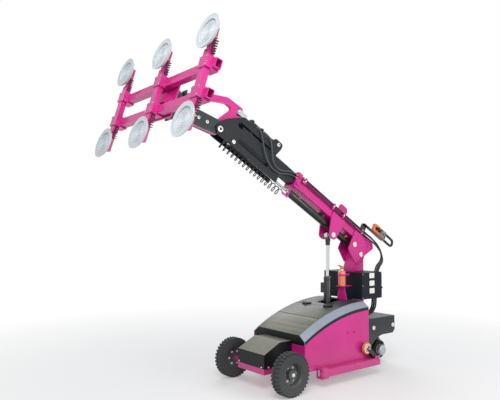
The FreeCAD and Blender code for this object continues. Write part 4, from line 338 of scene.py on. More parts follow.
# On the fender the faces that look up carry a painted sky reflection with some dust.
fender_paint = finish("fender_paint", srgb(28, 40, 46), 0.44, 700, 0.1, mottle=0.14, dust=DUST,
                      dust_height=0.5, upper_reflection_and_dust=srgb(62, 73, 78), specular=0.4)
cylinder_paint = finish("cylinder_paint", srgb(20, 23, 27), 0.36, 600, 0.06, coat=0.2, mottle=0.15)
# Near-black paint for the steering yoke and motor, made darker still as painted shade under the fender.
drive_black_and_shade = finish("drive_black_and_shade", srgb(10, 12, 15), 0.6, 600, 0.1, mottle=0.2, specular=0.25)
# Faces of the trim that look aside carry painted shade.
trim_silver = finish("trim_silver", srgb(152, 161, 176), 0.4, 1100, 0.05, metallic=0.55, mottle=0.06,
                     scratches=0.1, flank_shade=srgb(30, 33, 40))
steel = finish("steel", srgb(176, 178, 178), 0.34, 900, 0.06, metallic=0.95, mottle=0.12, scratches=0.15)
white_cap = finish("white_cap", srgb(222, 222, 218), 0.32, 900, 0.05, metallic=0.35, mottle=0.05)
chrome = finish("chrome", srgb(205, 211, 214), 0.12, 1500, 0.02, metallic=1.0, mottle=0.04, spread=0.04)
tyre_rubber = finish("tyre_rubber", srgb(37, 44, 49), 0.72, 300, 0.22, mottle=0.2, dust=srgb(120, 118, 112),
                     dust_height=0.45)
hose_rubber = finish("hose_rubber", srgb(20, 22, 25), 0.5, 900, 0.2, mottle=0.18)
thin_hose = finish("thin_hose", srgb(72, 80, 88), 0.45, 900, 0.15, mottle=0.14)
cup_rubber = finish("cup_rubber", srgb(205, 212, 218), 0.58, 500, 0.1, mottle=0.06)
cup_shell = finish("cup_shell", srgb(219, 224, 228), 0.38, 600, 0.06, coat=0.2, mottle=0.05)
tread_urethane = finish("tread_urethane", srgb(112, 96, 62), 0.55, 420, 0.18, mottle=0.25, dust=DUST,
                        dust_height=0.3)
castor_cream = finish("castor_cream", srgb(232, 216, 188), 0.5, 500, 0.08, mottle=0.1)
castor_orange = finish("castor_orange", srgb(214, 140, 66), 0.46, 500, 0.08, mottle=0.14)
sign_white = finish("sign_white", srgb(232, 232, 224), 0.45, 800, 0.03, mottle=0.03)
remote_orange = finish("remote_orange", srgb(226, 112, 44), 0.42, 1200, 0.1, coat=0.1, mottle=0.1)
remote_grey = finish("remote_grey", srgb(120, 134, 146), 0.46, 1200, 0.1, mottle=0.1)
black_plastic = finish("black_plastic", srgb(28, 29, 31), 0.5, 1300, 0.14, mottle=0.12)
red_plastic = finish("red_plastic", srgb(190, 34, 36), 0.32, 900, 0.04, coat=0.3, mottle=0.08)
bottle_salmon = finish("bottle_salmon", srgb(226, 120, 88), 0.3, 500, 0.04, coat=0.5, mottle=0.1)
brass = finish("brass", srgb(190, 158, 96), 0.35, 800, 0.05, metallic=0.9, mottle=0.12)
rim_grey = finish("rim_grey", srgb(58, 64, 68), 0.42, 500, 0.08, coat=0.1, dust=DUST, dust_height=0.4)
pipe_dark = finish("pipe_dark", srgb(54, 46, 54), 0.32, 700, 0.05, metallic=0.4, mottle=0.14)
grip_rubber = finish("grip_rubber", srgb(34, 35, 37), 0.62, 220, 0.3, mottle=0.14)
brake_alloy = finish("brake_alloy", srgb(184, 190, 192), 0.38, 800, 0.06, metallic=0.7, mottle=0.08,
                     scratches=0.08)
inner_dark = finish("inner_dark", srgb(40, 40, 42), 0.6, 500, 0.1, mottle=0.15)
print("finishes:", len(bpy.data.materials))

# %% [markdown]
# ## Hoses
# A hose is drawn as a smooth spline through the points of its route, then given its thickness and turned
# into a mesh.

# %% Hose tools
SAME_PLACE = 0.00001
HOSE_SMOOTH = 60


def spline(name, points, diameter, steps):
    """A smooth curve through a hose's route, as thick as asked."""
    data = bpy.data.curves.new(name, "CURVE")
    data.dimensions = "3D"
    run = data.splines.new("NURBS")
    run.points.add(len(points) - 1)
    for target, place in zip(run.points, points):
        target.co = (*place, 1.0)
    run.order_u = 3
    run.use_endpoint_u = True
    run.resolution_u = steps
    data.bevel_depth = diameter / 2
    data.bevel_resolution = 5
    data.use_fill_caps = True
    return bpy.data.objects.new(name, data)


def centre_line(points, steps):
    """The points that the finished curve itself passes through."""
    thread = spline("thread", points, 0.0, steps)
    mesh = bpy.data.meshes.new_from_object(thread)
    line = [vertex.co.copy() for vertex in mesh.vertices]
    bpy.data.objects.remove(thread)
    return line


def length_of(line):
    return sum((b - a).length for a, b in zip(line, line[1:]))


def closed_tube(points, diameter, steps):
    """A solid tube along a route, its end caps joined to its wall."""
    bare = spline("tube_curve", points, diameter, steps)
    bm = bmesh.new()
    bm.from_mesh(bpy.data.meshes.new_from_object(bare))
    bpy.data.objects.remove(bare)
    bmesh.ops.remove_doubles(bm, verts=bm.verts, dist=SAME_PLACE)
    bmesh.ops.recalc_face_normals(bm, faces=bm.faces)
    return bm


def made(name, bm, material, smooth):
    """A finished object. Its shading breaks where faces meet at more than so many degrees."""
    mesh = bpy.data.meshes.new(name)
    bm.to_mesh(mesh)
    bm.free()
    mesh.materials.append(material)
    mesh.shade_smooth()
    mesh.set_sharp_from_angle(angle=math.radians(smooth))
    obj = bpy.data.objects.new(name, mesh)
    studio.collection.objects.link(obj)
    return obj


def hose(name, points, diameter, material, steps=8):
    """A hose along the route, with the line it follows."""
    tube = made(name, closed_tube(points, diameter, steps), material, HOSE_SMOOTH)
    return tube, centre_line(points, steps)


def laid(tube, line, node):
    """Hides the node that a hose stands for and prints the hose's length: both of its ends go into the
    machine.
    """
    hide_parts(node)
    print(tube.name, round(length_of(line), 3), "m")


# %% Boom hoses
MM = 0.001
FRONT_AXLE = joints["front_wheel_left_spin"]["pos_m"]
BUNDLE = (
    ((91.8, 1461.5, 1500.3), (93, 1518, 1467), (112, 1586, 1422), (146, 1646, 1364), (182, 1680, 1290),
     (214, 1676, 1212), (238, 1632, 1158), (256, 1556, 1124), (260, 1522, 1052)),
    ((91.8, 1480.9, 1533), (92.4, 1537, 1500), (100, 1610, 1452), (122, 1678, 1390), (150, 1716, 1310),
     (180, 1712, 1226), (206, 1656, 1164), (230, 1560, 1126), (236, 1524, 1052)),
    ((24, 1496.2, 1558.9), (24, 1552.5, 1525.6), (40, 1628, 1477), (78, 1700, 1410), (120, 1738, 1325),
     (156, 1732, 1236), (176, 1670, 1172), (204, 1562, 1130), (212, 1524, 1052)),
)
BUNDLE_THICK = 0.018


def behind_axle(x, y, z):
    """A place in millimetres, its y counted back from the front axle."""
    return Vector((x * MM, y * MM + FRONT_AXLE[1], z * MM))


for number, route in enumerate(BUNDLE):
    places = [behind_axle(*place) for place in route]
    tube, line = hose(f"boom_hose_{number}", places, BUNDLE_THICK, hose_rubber)
    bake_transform(tube)
    laid(tube, line, "boom_hoses")

# %% Hoses under the box
BOX_ROUTE = ((1530, 778.7), (1530, 715), (1508, 650), (1450, 602), (1368, 588), (1305, 612), (1262, 655),
             (1201.5, 684))
BOX_THICK, BOX_ACROSS = 0.02, (174, 200, 226)
for number, x in enumerate(BOX_ACROSS):
    places = [behind_axle(x, *place) for place in BOX_ROUTE]
    tube, line = hose(f"box_hose_{number}", places, BOX_THICK, hose_rubber)
    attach(tube, "chassis")
    laid(tube, line, "box_hoses")

# %% Hoses beside the head
HEAD_ROUTES = (
    ((71, 1288.8, 236), (72, 1350, 231), (80, 1420, 200), (82, 1490, 152), (82, 1575, 130), (82, 1655, 160),
     (82, 1710, 230), (82, 1755, 300), (76, 1810, 352), (58, 1858, 366), (53, 1898.9, 366)),
    ((71, 1288.9, 205), (72, 1350, 199), (80, 1420, 166), (82, 1495, 116), (82, 1595, 88), (82, 1695, 108),
     (82, 1785, 172), (82, 1855, 248), (78, 1915, 316), (60, 1974, 362), (53, 2038.8, 366)),
)
HEAD_THICK = 0.012
for number, route in enumerate(HEAD_ROUTES):
    places = [on_boom(x * MM, ahead * MM, above * MM) for x, ahead, above in route]
    tube, line = hose(f"head_hose_{number}", places, HEAD_THICK, thin_hose)
    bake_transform(tube)
    laid(tube, line, "head_hoses")

# %% Spiral hose under the boom
CURL_POINTS, CURL_STEPS = 12, 4
SPIRAL_REAR, SPIRAL_FRONT, SPIRAL_ABOVE = 1.36, 2.24, -0.0253
SPIRAL_RADIUS, SPIRAL_CURLS, SPIRAL_THICK = 0.037, 16, 0.01


def helix(start, along, aside, radius, curls, length):
    """Points of a coil's spline, a little wide because the curve passes inside them."""
    upright = along.cross(aside)
    reach = radius / (0.5 + 0.5 * math.cos(2 * math.pi / CURL_POINTS))
    places = []
    for step in range(curls * CURL_POINTS + 1):
        angle = 2 * math.pi * step / CURL_POINTS
        rise = along * (length * step / (curls * CURL_POINTS))
        circle = aside * (reach * math.cos(angle)) + upright * (reach * math.sin(angle))
        places.append(start + circle + rise)
    return places


boom_ahead = (BOOM.to_3x3() @ Vector((0, -1, 0))).normalized()
rear, front = on_boom(0, SPIRAL_REAR, SPIRAL_ABOVE), on_boom(0, SPIRAL_FRONT, SPIRAL_ABOVE)
places = helix(rear, boom_ahead, ACROSS, SPIRAL_RADIUS, SPIRAL_CURLS, SPIRAL_FRONT - SPIRAL_REAR)
tube, line = hose("spiral_air_hose", places, SPIRAL_THICK, hose_rubber, CURL_STEPS)
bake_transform(tube)
laid(tube, line, "spiral_hose")

# %% Spiral hoses at the cups
CUPS = [(column, row) for column in (-1, 0, 1) for row in (-1, 1)]
COLUMN_STEP, FRAME_ABOVE = 0.731, 0.031
CUP_HOSE_THICK, CUP_HOSE_STEPS, CUP_HOSE_RADIUS, CUP_HOSE_CURLS = 0.007, 3, 0.017, 6
CUP_HOSE_ASIDE, CUP_HOSE_AHEAD, CUP_HOSE_START, CUP_HOSE_END = 0.0628, 0.687, 0.1893, 0.322


def by_cup(column, row, aside, ahead, off):
    """A place beside a column of the suction frame, off the frame's middle towards a row of cups."""
    return on_head(column * COLUMN_STEP + aside, ahead, FRAME_ABOVE + row * off)


head_ahead = (HEAD.to_3x3() @ Vector((0, -1, 0))).normalized()
head_up = (HEAD.to_3x3() @ Vector((0, 0, 1))).normalized()
for column, row in CUPS:
    start = by_cup(column, row, CUP_HOSE_ASIDE, CUP_HOSE_AHEAD, CUP_HOSE_START)
    places = helix(start, head_up * row, head_ahead, CUP_HOSE_RADIUS, CUP_HOSE_CURLS,
                   CUP_HOSE_END - CUP_HOSE_START)
    name = f"cup_hose_{column + 1}_{(row + 1) // 2}"
    tube, line = hose(name, places, CUP_HOSE_THICK, hose_rubber, CUP_HOSE_STEPS)
    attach(tube, "suction_frame")
    laid(tube, line, "cup_hoses")

# %% [markdown]
# ## Dressing the solids
# Most of the machine is bent sheet, welded box section and turned pins, and those solids are already right.
# They get their finish and a small rounded edge, because a real edge is never perfectly sharp and a bright
# line along it is what makes a painted plate look solid. Two pieces keep their sharp edges, because solids
# touch inside them and a bevel would fold there.

# %% Dress the solids
SOFT_EDGE, SOFT_ANGLE = 0.0016, math.radians(40)
DRESS = {
    magenta_paint: ("chassis_frame", "side_panels", "outrigger_arm_left", "outrigger_arm_right",
                    "outrigger_brackets", "mast_column", "boom_tube", "extinguisher_bracket", "frame_beams",
                    "frame_arms", "frame_blocks", "tilt_arm"),
    hood_lacquer: ("front_hood", "rear_hood", "nose_cover"),
    trim_silver: ("hood_trims",),
    fender_paint: ("rear_fender", "tilt_cheeks"),
    head_paint: ("head_plates", "inner_boom"),
    box_paint: ("control_box",),
    cylinder_paint: ("stage_barrel", "lift_barrel", "tilt_barrel", "slew_drive", "castor_fork_left",
                     "castor_fork_right"),
    drive_black_and_shade: ("steering_yoke", "drive_motor"),
    chrome: ("lift_rod", "stage_rod", "tilt_rod"),
    sign_white: ("box_signs",),
    red_plastic: ("main_switch", "extinguisher_lever", "stop_button"),
    black_plastic: ("joystick_front", "joystick_rear"),
    inner_dark: ("batteries", "power_pack", "counterweights"),
}
TOUCHING = ("hood_trims", "inner_boom")


def dress(node, material):
    """Gives a solid its finish and a softened edge."""
    solid = nodes[node]
    solid.data.materials.clear()
    solid.data.materials.append(material)
    weld = solid.modifiers.new("weld", "WELD")
    weld.merge_threshold = SAME_PLACE
    if node not in TOUCHING:
        bevel = solid.modifiers.new("edge", "BEVEL")
        bevel.width = SOFT_EDGE
        bevel.segments = 2
        bevel.limit_method = "ANGLE"
        bevel.angle_limit = SOFT_ANGLE
        bevel.harden_normals = True


for material, names in DRESS.items():
    for name in names:
        dress(name, material)
print("dressed solids:", sum(len(names) for names in DRESS.values()))

# %% [markdown]
# ## Turned and stamped pieces
# Round pieces, such as wheels, cups and caps, are made the way a lathe makes them: a half outline is swept
# once round an axis. Repeated pieces, such as tread blocks and screws, are made once and stamped round.
# Outlines are in millimetres, as on a drawing, and places in metres.


# %% Frames for pieces
def facing(place, direction):
    """A frame at a place whose Z looks along a direction."""
    turn = Vector(direction).to_track_quat("Z", "Y").to_matrix().to_4x4()
    return Matrix.Translation(Vector(place)) @ turn


def on_joint(name, sign):
    """A frame at a joint that looks to the left, or to the right for sign -1."""
    return facing(joints[name]["pos_m"], (sign, 0, 0))


def moved(x, y, z):
    return Matrix.Translation((x, y, z))


def spun(share):
    """A share of a whole turn round Z."""
    return Matrix.Rotation(2 * math.pi * share, 4, "Z")


# %% Shaping tools
def both_halves(side):
    """An outline from the half above its middle: the half below, then the half above in reverse."""
    return [(radius, -height) for radius, height in side] + [point for point in reversed(side) if point[1]]


def lathe(outline, steps=64):
    """A half outline of (radius, height) in mm, swept round Z. One clear of the axis is closed in a ring."""
    bm = bmesh.new()
    ring = [bm.verts.new((radius * MM, 0, height * MM)) for radius, height in outline]
    edges = [bm.edges.new(pair) for pair in zip(ring, ring[1:])]
    if min(radius for radius, _ in outline) > 0:
        edges.append(bm.edges.new((ring[-1], ring[0])))
    bmesh.ops.spin(bm, geom=ring + edges, axis=(0, 0, 1), cent=(0, 0, 0), angle=2 * math.pi, steps=steps,
                   use_merge=True)
    bmesh.ops.remove_doubles(bm, verts=bm.verts, dist=SAME_PLACE)
    bmesh.ops.recalc_face_normals(bm, faces=bm.faces)
    return bm


def soften(bm, edges, width, steps):
    bmesh.ops.bevel(bm, geom=edges, offset=width, segments=steps, profile=0.5, affect="EDGES", material=-1)


def block(size, edge, steps=2):
    """A block with rounded edges."""
    bm = bmesh.new()
    bmesh.ops.create_cube(bm, size=1)
    bmesh.ops.scale(bm, vec=size, verts=bm.verts)
    soften(bm, bm.edges[:], edge, steps)
    return bm


AS_DRAWN = (Matrix.Identity(4),)


def stamp(bm, shape, places=AS_DRAWN):
    """Adds a copy of a shape to bm at every place."""
    for place in places:
        mesh = bpy.data.meshes.new("stamp")
        shape.to_mesh(mesh)
        mesh.transform(place)
        bm.from_mesh(mesh)
        bpy.data.meshes.remove(mesh)


def piece(name, shape, places, material, body, instead_of=None, smooth=35):
    """Stamps a shape at its places as one finished object that rides on a body."""
    bm = bmesh.new()
    stamp(bm, shape, places)
    bmesh.ops.recalc_face_normals(bm, faces=bm.faces)
    obj = made(name, bm, material, smooth)
    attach(obj, body)
    if instead_of:
        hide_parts(instead_of)
    print(name, len(obj.data.polygons), "faces")


# %% [markdown]
# ## Front wheels
# The tyres are small pneumatic ones with a block tread that wraps over the shoulders. A tyre is moulded in
# one piece, so the casing is turned from one outline with raised rings on its sidewall, and the tread blocks
# stand on it in two staggered rows. The rim is a deep dish with a hub tube and a ring of bright wheel nuts.

# %% Tyres
LEFT_RIGHT = (("left", 1), ("right", -1))
TYRE_SIDE = ((107.2, 44), (112, 50), (123, 52), (126, 53.8), (130, 53.8), (133, 52.2), (150, 53), (153, 54),
             (157, 54), (160, 52.8), (174, 52), (184, 50), (190.5, 45.5), (194.5, 39), (196.5, 18),
             (196.8, 0))
LUGS, LUG_SLANT, LUG_OUT, LUG_ASIDE = 34, 0.16, 0.1983, 0.0255
SHOULDER_SLANT, SHOULDER_OUT, SHOULDER_ASIDE = 0.35, 0.1865, 0.0475
lug = block((0.012, 0.0215, 0.043), 0.0022)
shoulder = block((0.016, 0.0165, 0.009), 0.0022)
for side, sign in LEFT_RIGHT:
    tyre = lathe(both_halves(TYRE_SIDE), 104)
    for number in range(LUGS):
        for row in (-1, 1):
            turn = spun((number + 0.25 * row) / LUGS)
            slant = Matrix.Rotation(LUG_SLANT * row * sign, 4, "X")
            stamp(tyre, lug, [turn @ moved(LUG_OUT, 0, row * LUG_ASIDE) @ slant])
            slant = Matrix.Rotation(-SHOULDER_SLANT * row, 4, "Y")
            stamp(tyre, shoulder, [turn @ moved(SHOULDER_OUT, 0, row * SHOULDER_ASIDE) @ slant])
    wheel = f"front_wheel_{side}"
    piece(f"block_tyre_{side}", tyre, [on_joint(f"{wheel}_spin", sign)], tyre_rubber, wheel,
          f"front_tyre_{side}")

# %% Rims and wheel nuts
RIM = ((110, 45), (106.5, 45.5), (103, 42), (100, 33), (97, 6), (92, -6), (84, -10), (56, -10), (50, -8.5),
       (47, -4), (45, 6), (44, 29), (41.5, 32.5), (30, 33.5), (29, 31), (13.5, 31), (13.5, -44), (46, -44),
       (46, -18), (90, -19), (98.5, -34), (106.5, -45.5), (110, -45), (106.8, -40), (106.2, 0), (106.8, 40))
NUTS, NUT_CIRCLE, NUT_FRONT, NUT_BACK = 6, 0.068, -0.01, -0.0185
TURNED_OVER = Matrix.Rotation(math.pi, 4, "X")


def bar(sides, radius, height):
    """A many-sided bar standing on Z = 0."""
    bm = bmesh.new()
    bmesh.ops.create_cone(bm, cap_ends=True, segments=sides, radius1=radius, radius2=radius, depth=height)
    bmesh.ops.translate(bm, vec=(0, 0, height / 2), verts=bm.verts)
    return bm


def prism(sides, radius, height, edge=0.0008):
    """A bar with its top edge broken: a nut, a bolt head or a washer."""
    bm = bar(sides, radius, height)
    rim = [e for e in bm.edges if all(v.co.z > height * 0.9 for v in e.verts)]
    soften(bm, rim, edge, 2)
    return bm


def hex_bolt(across):
    """A hexagon head on its washer."""
    bm = prism(24, across * 0.68, across * 0.12, across * 0.03)
    stamp(bm, prism(6, across * 0.55, across * 0.42, across * 0.06), [moved(0, 0, across * 0.1)])
    return bm


nut = hex_bolt(0.019)
stamp(nut, prism(16, 0.005, 0.015))
for side, sign in LEFT_RIGHT:
    wheel = f"front_wheel_{side}"
    place = on_joint(f"{wheel}_spin", sign)
    piece(f"dished_rim_{side}", lathe(RIM, 96), [place], rim_grey, wheel, f"front_rim_{side}")
    turns = [place @ spun(number / NUTS) for number in range(NUTS)]
    ring = [turn @ moved(NUT_CIRCLE, 0, NUT_FRONT) for turn in turns]
    ring += [turn @ moved(NUT_CIRCLE, 0, NUT_BACK) @ TURNED_OVER for turn in turns]
    piece(f"wheel_nuts_{side}", nut, ring, white_cap, wheel)

# %% [markdown]
# ## Drive wheel and castors
# The rear wheel drives and steers. It runs on a cast polyurethane band, which is tough and tan, pressed on a
# steel core. The castors of the outriggers are small orange wheels with a cream disc and a bright bearing.

# %% Drive wheel
DRIVE = on_joint("drive_wheel_spin", 1)
BAND_SIDE = ((124, 65), (156, 65), (160, 60), (160, 24), (157.5, 22), (157.5, 18), (160, 16))
CORE_SIDE = ((0, 86), (20, 86), (20, 62), (56, 60), (62, 50), (104, 48), (112, 62), (124, 64))
CORE_BOLTS, CORE_CIRCLE, CORE_FACE = 8, 0.083, 0.0485
piece("drive_band", lathe(both_halves(BAND_SIDE), 96), [DRIVE], tread_urethane, "drive",
      "drive_wheel")
core = lathe(both_halves(CORE_SIDE), 72)
turns = [spun(number / CORE_BOLTS) for number in range(CORE_BOLTS)]
ring = [turn @ moved(CORE_CIRCLE, 0, -CORE_FACE) @ TURNED_OVER for turn in turns]
ring += [turn @ moved(CORE_CIRCLE, 0, CORE_FACE) for turn in turns]
stamp(core, hex_bolt(0.016), ring)
piece("drive_core", core, [DRIVE], cylinder_paint, "drive", "drive_wheel")

# %% Brake cap
CAP = ((0, 0), (60, 0), (60, 6), (56.5, 8), (56.5, 46), (54, 52), (47, 56), (12, 56), (10.5, 54.5),
       (0, 54.5))
CAP_OUT, FINS, FIN_CIRCLE, FIN_MIDDLE = 0.154, 28, 0.058, 0.027
cap = lathe(CAP, 72)
fin = block((0.007, 0.005, 0.036), 0.0012)
stamp(cap, fin, [spun(number / FINS) @ moved(FIN_CIRCLE, 0, FIN_MIDDLE) for number in range(FINS)])
piece("finned_brake_cap", cap, [DRIVE @ moved(0, 0, CAP_OUT)], brake_alloy, "steering",
      "brake_cover")

# %% Castors
CASTOR_RINGS = (
    ("castor_tyre", castor_orange, ((49.5, 14), (52, 16.5), (56.5, 15), (59.5, 9), (60, 0))),
    ("castor_disc", castor_cream, ((35.5, 13), (38, 14.8), (47, 14.8), (49.3, 13.5))),
    ("castor_core", castor_orange, ((26.2, 11), (28, 12), (33.5, 12), (35.3, 11))),
    ("castor_bearing", white_cap, ((7.2, 16.5), (13, 16.5), (14.5, 14.5), (24, 14), (26, 12))),
)
AXLE_HALF, FORK_HALF = 0.035, 0.041
for side, sign in LEFT_RIGHT:
    spin, fold = f"castor_{side}_spin", f"castor_fork_{side}_fold"
    for name, material, ring_side in CASTOR_RINGS:
        piece(f"{name}_{side}", lathe(both_halves(ring_side)), [on_joint(spin, sign)], material,
              f"castor_{side}", f"castor_wheel_{side}")
    ends = [on_joint(joint, way) @ moved(0, 0, half)
            for joint, half in ((spin, AXLE_HALF), (fold, FORK_HALF)) for way in (sign, -sign)]
    piece(f"castor_bolts_{side}", hex_bolt(0.022), ends, steel, f"fork_{side}")

# %% [markdown]
# ## Suction cups
# Each cup is a shallow pale rubber ring on a stiff round plate. The lip flares so that its thin edge seals
# first, and rings on the face stop the pane from being drawn in. Ribs on the back carry the pull inwards.

# %% Suction cups
LIP = ((118, 733), (130, 733.5), (140, 740), (147.5, 751), (150, 757.5), (148.8, 759), (144, 758.2),
       (134, 754.8), (126, 756), (118, 754.5), (110, 756), (107, 754), (107, 740))
BACK = ((0, 733), (125, 733), (125, 730), (123, 726), (117, 724.5), (111, 725.5), (106, 728.5), (40, 727),
        (33, 720), (24, 718), (22, 716), (22, 707), (0, 707))
FITTING = ((0, 677), (5, 677), (5, 684), (8, 685), (8, 696), (6, 698), (6, 708), (9, 709), (9, 723),
           (0, 723))
FACE_REAR, FACE_FRONT, RING_FRONT, FACE_RADIUS = 733, 742, 745, 106.8
FACE_RINGS, RING_FOOT, RING_TOP = (98, 80, 62, 44, 26), 4.5, 2.5
RIBS, RIB_MIDDLE, RIB_AT = 8, 0.07, 0.725
CUP_OFF, FITTING_OFF = 0.382, 0.3348
face_outline = [(0.0, FACE_REAR), (FACE_RADIUS, FACE_REAR), (FACE_RADIUS, FACE_FRONT)]
for ring in FACE_RINGS:
    face_outline += [(ring + RING_FOOT, FACE_FRONT), (ring + RING_TOP, RING_FRONT),
                     (ring - RING_TOP, RING_FRONT), (ring - RING_FOOT, FACE_FRONT)]
face_outline.append((0.0, FACE_FRONT))
back = lathe(BACK, 72)
rib = block((0.066, 0.005, 0.011), 0.0012)
stamp(back, rib, [spun(number / RIBS) @ moved(RIB_MIDDLE, 0, RIB_AT) for number in range(RIBS)])
cups = [facing(by_cup(*cup, 0, 0, CUP_OFF), head_ahead) for cup in CUPS]
fittings = [facing(by_cup(*cup, CUP_HOSE_ASIDE, 0, FITTING_OFF), head_ahead) for cup in CUPS]
for name, shape, places, material, slot in (
        ("cup_lips", lathe(LIP, 80), cups, cup_rubber, "pale_rubber"),
        ("cup_faces", lathe(face_outline), cups, cup_rubber, "pale_rubber"),
        ("cup_backs", back, cups, cup_shell, "pale_rubber"),
        ("cup_fittings", lathe(FITTING, 24), fittings, brass, "alloy")):
    piece(name, shape, places, material, "suction_frame", "suction_cups")

# %% [markdown]
# ## Caps, pins and screws
# Turned pins hold the booms and cylinders, and their round caps are left bright against the paint. Each cap
# has a round recess. The wheels' axle nuts and the fender's caps are bright in the same way.

# %% Pin caps
SIDES = (1, -1)
PIVOT_PINS, LIFT_PINS, TILT_PINS = ((0, 0), (0.152, 0.046)), ((0.515, -0.039),), ((2.34, 0.058),)
CYLINDER_PINS = ((2.15, 0.046), (1.666, 0.362))
PIVOT_HALF, LIFT_HALF, HEAD_HALF, SHANK_HALF = 0.0812, 0.0832, 0.062, 0.082


def cap_screw(radius, height):
    """A round head with a round recess sunk in it."""
    bm = bar(36, radius, height)
    face = max(bm.faces, key=lambda f: f.calc_center_median().z)
    for inwards, rise in ((0.16, 0), (0.36, radius * 0.05), (0.04, -height * 0.5)):
        bmesh.ops.inset_region(bm, faces=[face], thickness=radius * inwards, depth=rise)
    top = {v for v in bm.verts if v.co.z > height * 0.9 and v.co.xy.length > radius * 0.97}
    rim = [e for e in bm.edges if top.issuperset(e.verts)]
    soften(bm, rim, radius * 0.1, 3)
    return bm


def ends_of(pins, half, point):
    """Outward frames at both ends of each pin, drawn across the boom, the head or the chassis."""
    return [facing(point(sign * half, *pin), (sign, 0, 0)) for sign in SIDES for pin in pins]


caps = ends_of(PIVOT_PINS, PIVOT_HALF, on_boom) + ends_of(LIFT_PINS, LIFT_HALF, on_boom)
piece("pivot_caps", cap_screw(0.0296, 0.0085), caps, white_cap, "boom", "boom_pins")
shanks = [facing(on_boom(-SHANK_HALF, *pin), ACROSS) for pin in PIVOT_PINS + LIFT_PINS]
piece("boom_shanks", prism(36, 0.018, 2 * SHANK_HALF), shanks, steel, "boom", "boom_pins")
caps = ends_of(TILT_PINS, HEAD_HALF, on_boom)
piece("head_caps", cap_screw(0.0298, 0.0095), caps, white_cap, "inner")
caps = ends_of(CYLINDER_PINS, HEAD_HALF, on_boom)
piece("small_caps", cap_screw(0.02, 0.0092), caps, white_cap, "inner")

# %% Screws and bolts
CHEEK_HALF, CHEEK_PLACES = 0.048, ((0.15, 0.01), (0.25, 0.01), (0.35, 0.01))
FENDER_HALF, FENDER_PLACES = 0.28, ((1.079, 0.451), (1.422, 0.451))
AXLE_END, AXLE_PLACES = 0.4803, (FRONT_AXLE[1:],)
NUT_TOP = ((0, 10), (12, 10), (11.5, 13.5), (8, 15), (0, 15.2))
PANEL_HALF, PANEL_PLACES = 0.393, ((0.531, 0.477), (0.628, 0.477))
NOSE_HALF, NOSE_PLACES = 0.206, ((-0.4, 0.232), (-0.18, 0.232))
NOSE_FRONT = ((-0.185, -0.453, 0.232), (0.165, -0.453, 0.232))
BOX_HALF, BOX_PLACES = 0.285, [(y, z) for y in (0.899, 1.215) for z in (0.793, 0.925, 1.056)]
BLOCK_AHEAD, BLOCK_OFF, BLOCK_ASIDE, BLOCK_RISE = 0.72, 0.13, 0.048, 0.036


def on_chassis(x, y, z):
    return Vector((x, y, z))


screws = ends_of(CHEEK_PLACES, CHEEK_HALF, on_head)
piece("cheek_screws", cap_screw(0.0158, 0.0095), screws, white_cap, "bracket")
caps = ends_of(FENDER_PLACES, FENDER_HALF, on_chassis)
piece("fender_caps", cap_screw(0.024, 0.009), caps, white_cap, "chassis", "chassis_fasteners")
axle_nut = prism(6, 0.0195, 0.011, 0.0014)
stamp(axle_nut, lathe(NUT_TOP, 32))
ends = ends_of(AXLE_PLACES, AXLE_END, on_chassis)
piece("axle_nuts", axle_nut, ends, white_cap, "chassis", "chassis_fasteners")
bolts = ends_of(PANEL_PLACES, PANEL_HALF, on_chassis)
piece("panel_bolts", hex_bolt(0.019), bolts, magenta_paint, "chassis",
      "chassis_fasteners")
screws = [facing(place, (0, -1, 0)) for place in NOSE_FRONT] + ends_of(NOSE_PLACES, NOSE_HALF, on_chassis)
piece("nose_screws", cap_screw(0.008, 0.005), screws, white_cap, "chassis")
screws = ends_of(BOX_PLACES, BOX_HALF, on_chassis)
piece("box_screws", cap_screw(0.006, 0.0035), screws, steel, "chassis")
screws = [facing(by_cup(*cup, across * BLOCK_ASIDE, BLOCK_AHEAD, BLOCK_OFF + rise * BLOCK_RISE), head_ahead)
          for cup in CUPS for across in SIDES for rise in SIDES]
piece("block_screws", cap_screw(0.0085, 0.006), screws, steel, "suction_frame")

# %% [markdown]
# ## Pipes, glands and cylinders
# Steel pipes carry the oil along the boom in painted clamps and end in hexagon unions, where hoses begin.
# A cylinder's rod comes out through a gland, and a dark collar joins the lifting rod to its eye.

# %% Boom pipes
PIPES, TOP_PIPE = ((0.0903, 0.212), (0.0903, 0.25), (0.024, 0.2803)), 0.024
PIPE_LONG, PIPE_RADIUS, PIPE_REAR, UNIONS_AT = 1105, 8, 0.11, (0.112, 1.193)
CLAMPS_AT, CLAMP_SIDE, CLAMP_MIDDLE, CLAMP_TOP = (0.486, 0.6745, 1.179), 0.0868, 0.231, 0.279
SIDE_BOLT, TOP_BOLT = 0.103, 0.2895
LEAN = BOOM.to_3x3().to_4x4()
boom_up = BOOM.to_3x3() @ Vector((0, 0, 1))
pipe = lathe(((0.0, 0.0), (PIPE_RADIUS, 0.0), (PIPE_RADIUS, PIPE_LONG), (0.0, PIPE_LONG)), 24)
ends = [facing(on_boom(x, PIPE_REAR, above), boom_ahead) for x, above in PIPES]
piece("oil_pipes", pipe, ends, pipe_dark, "boom", "boom_pipes")
unions = [facing(on_boom(x, ahead, above), boom_ahead) for x, above in PIPES for ahead in UNIONS_AT]
piece("pipe_unions", prism(6, 0.0125, 0.02, 0.001), unions, steel, "boom", "boom_pipes")
clamps, clamp_bolts = bmesh.new(), bmesh.new()
side_clamp = block((0.033, 0.024, 0.072), 0.0025, 3)
top_clamp = block((0.026, 0.024, 0.022), 0.0025, 3)
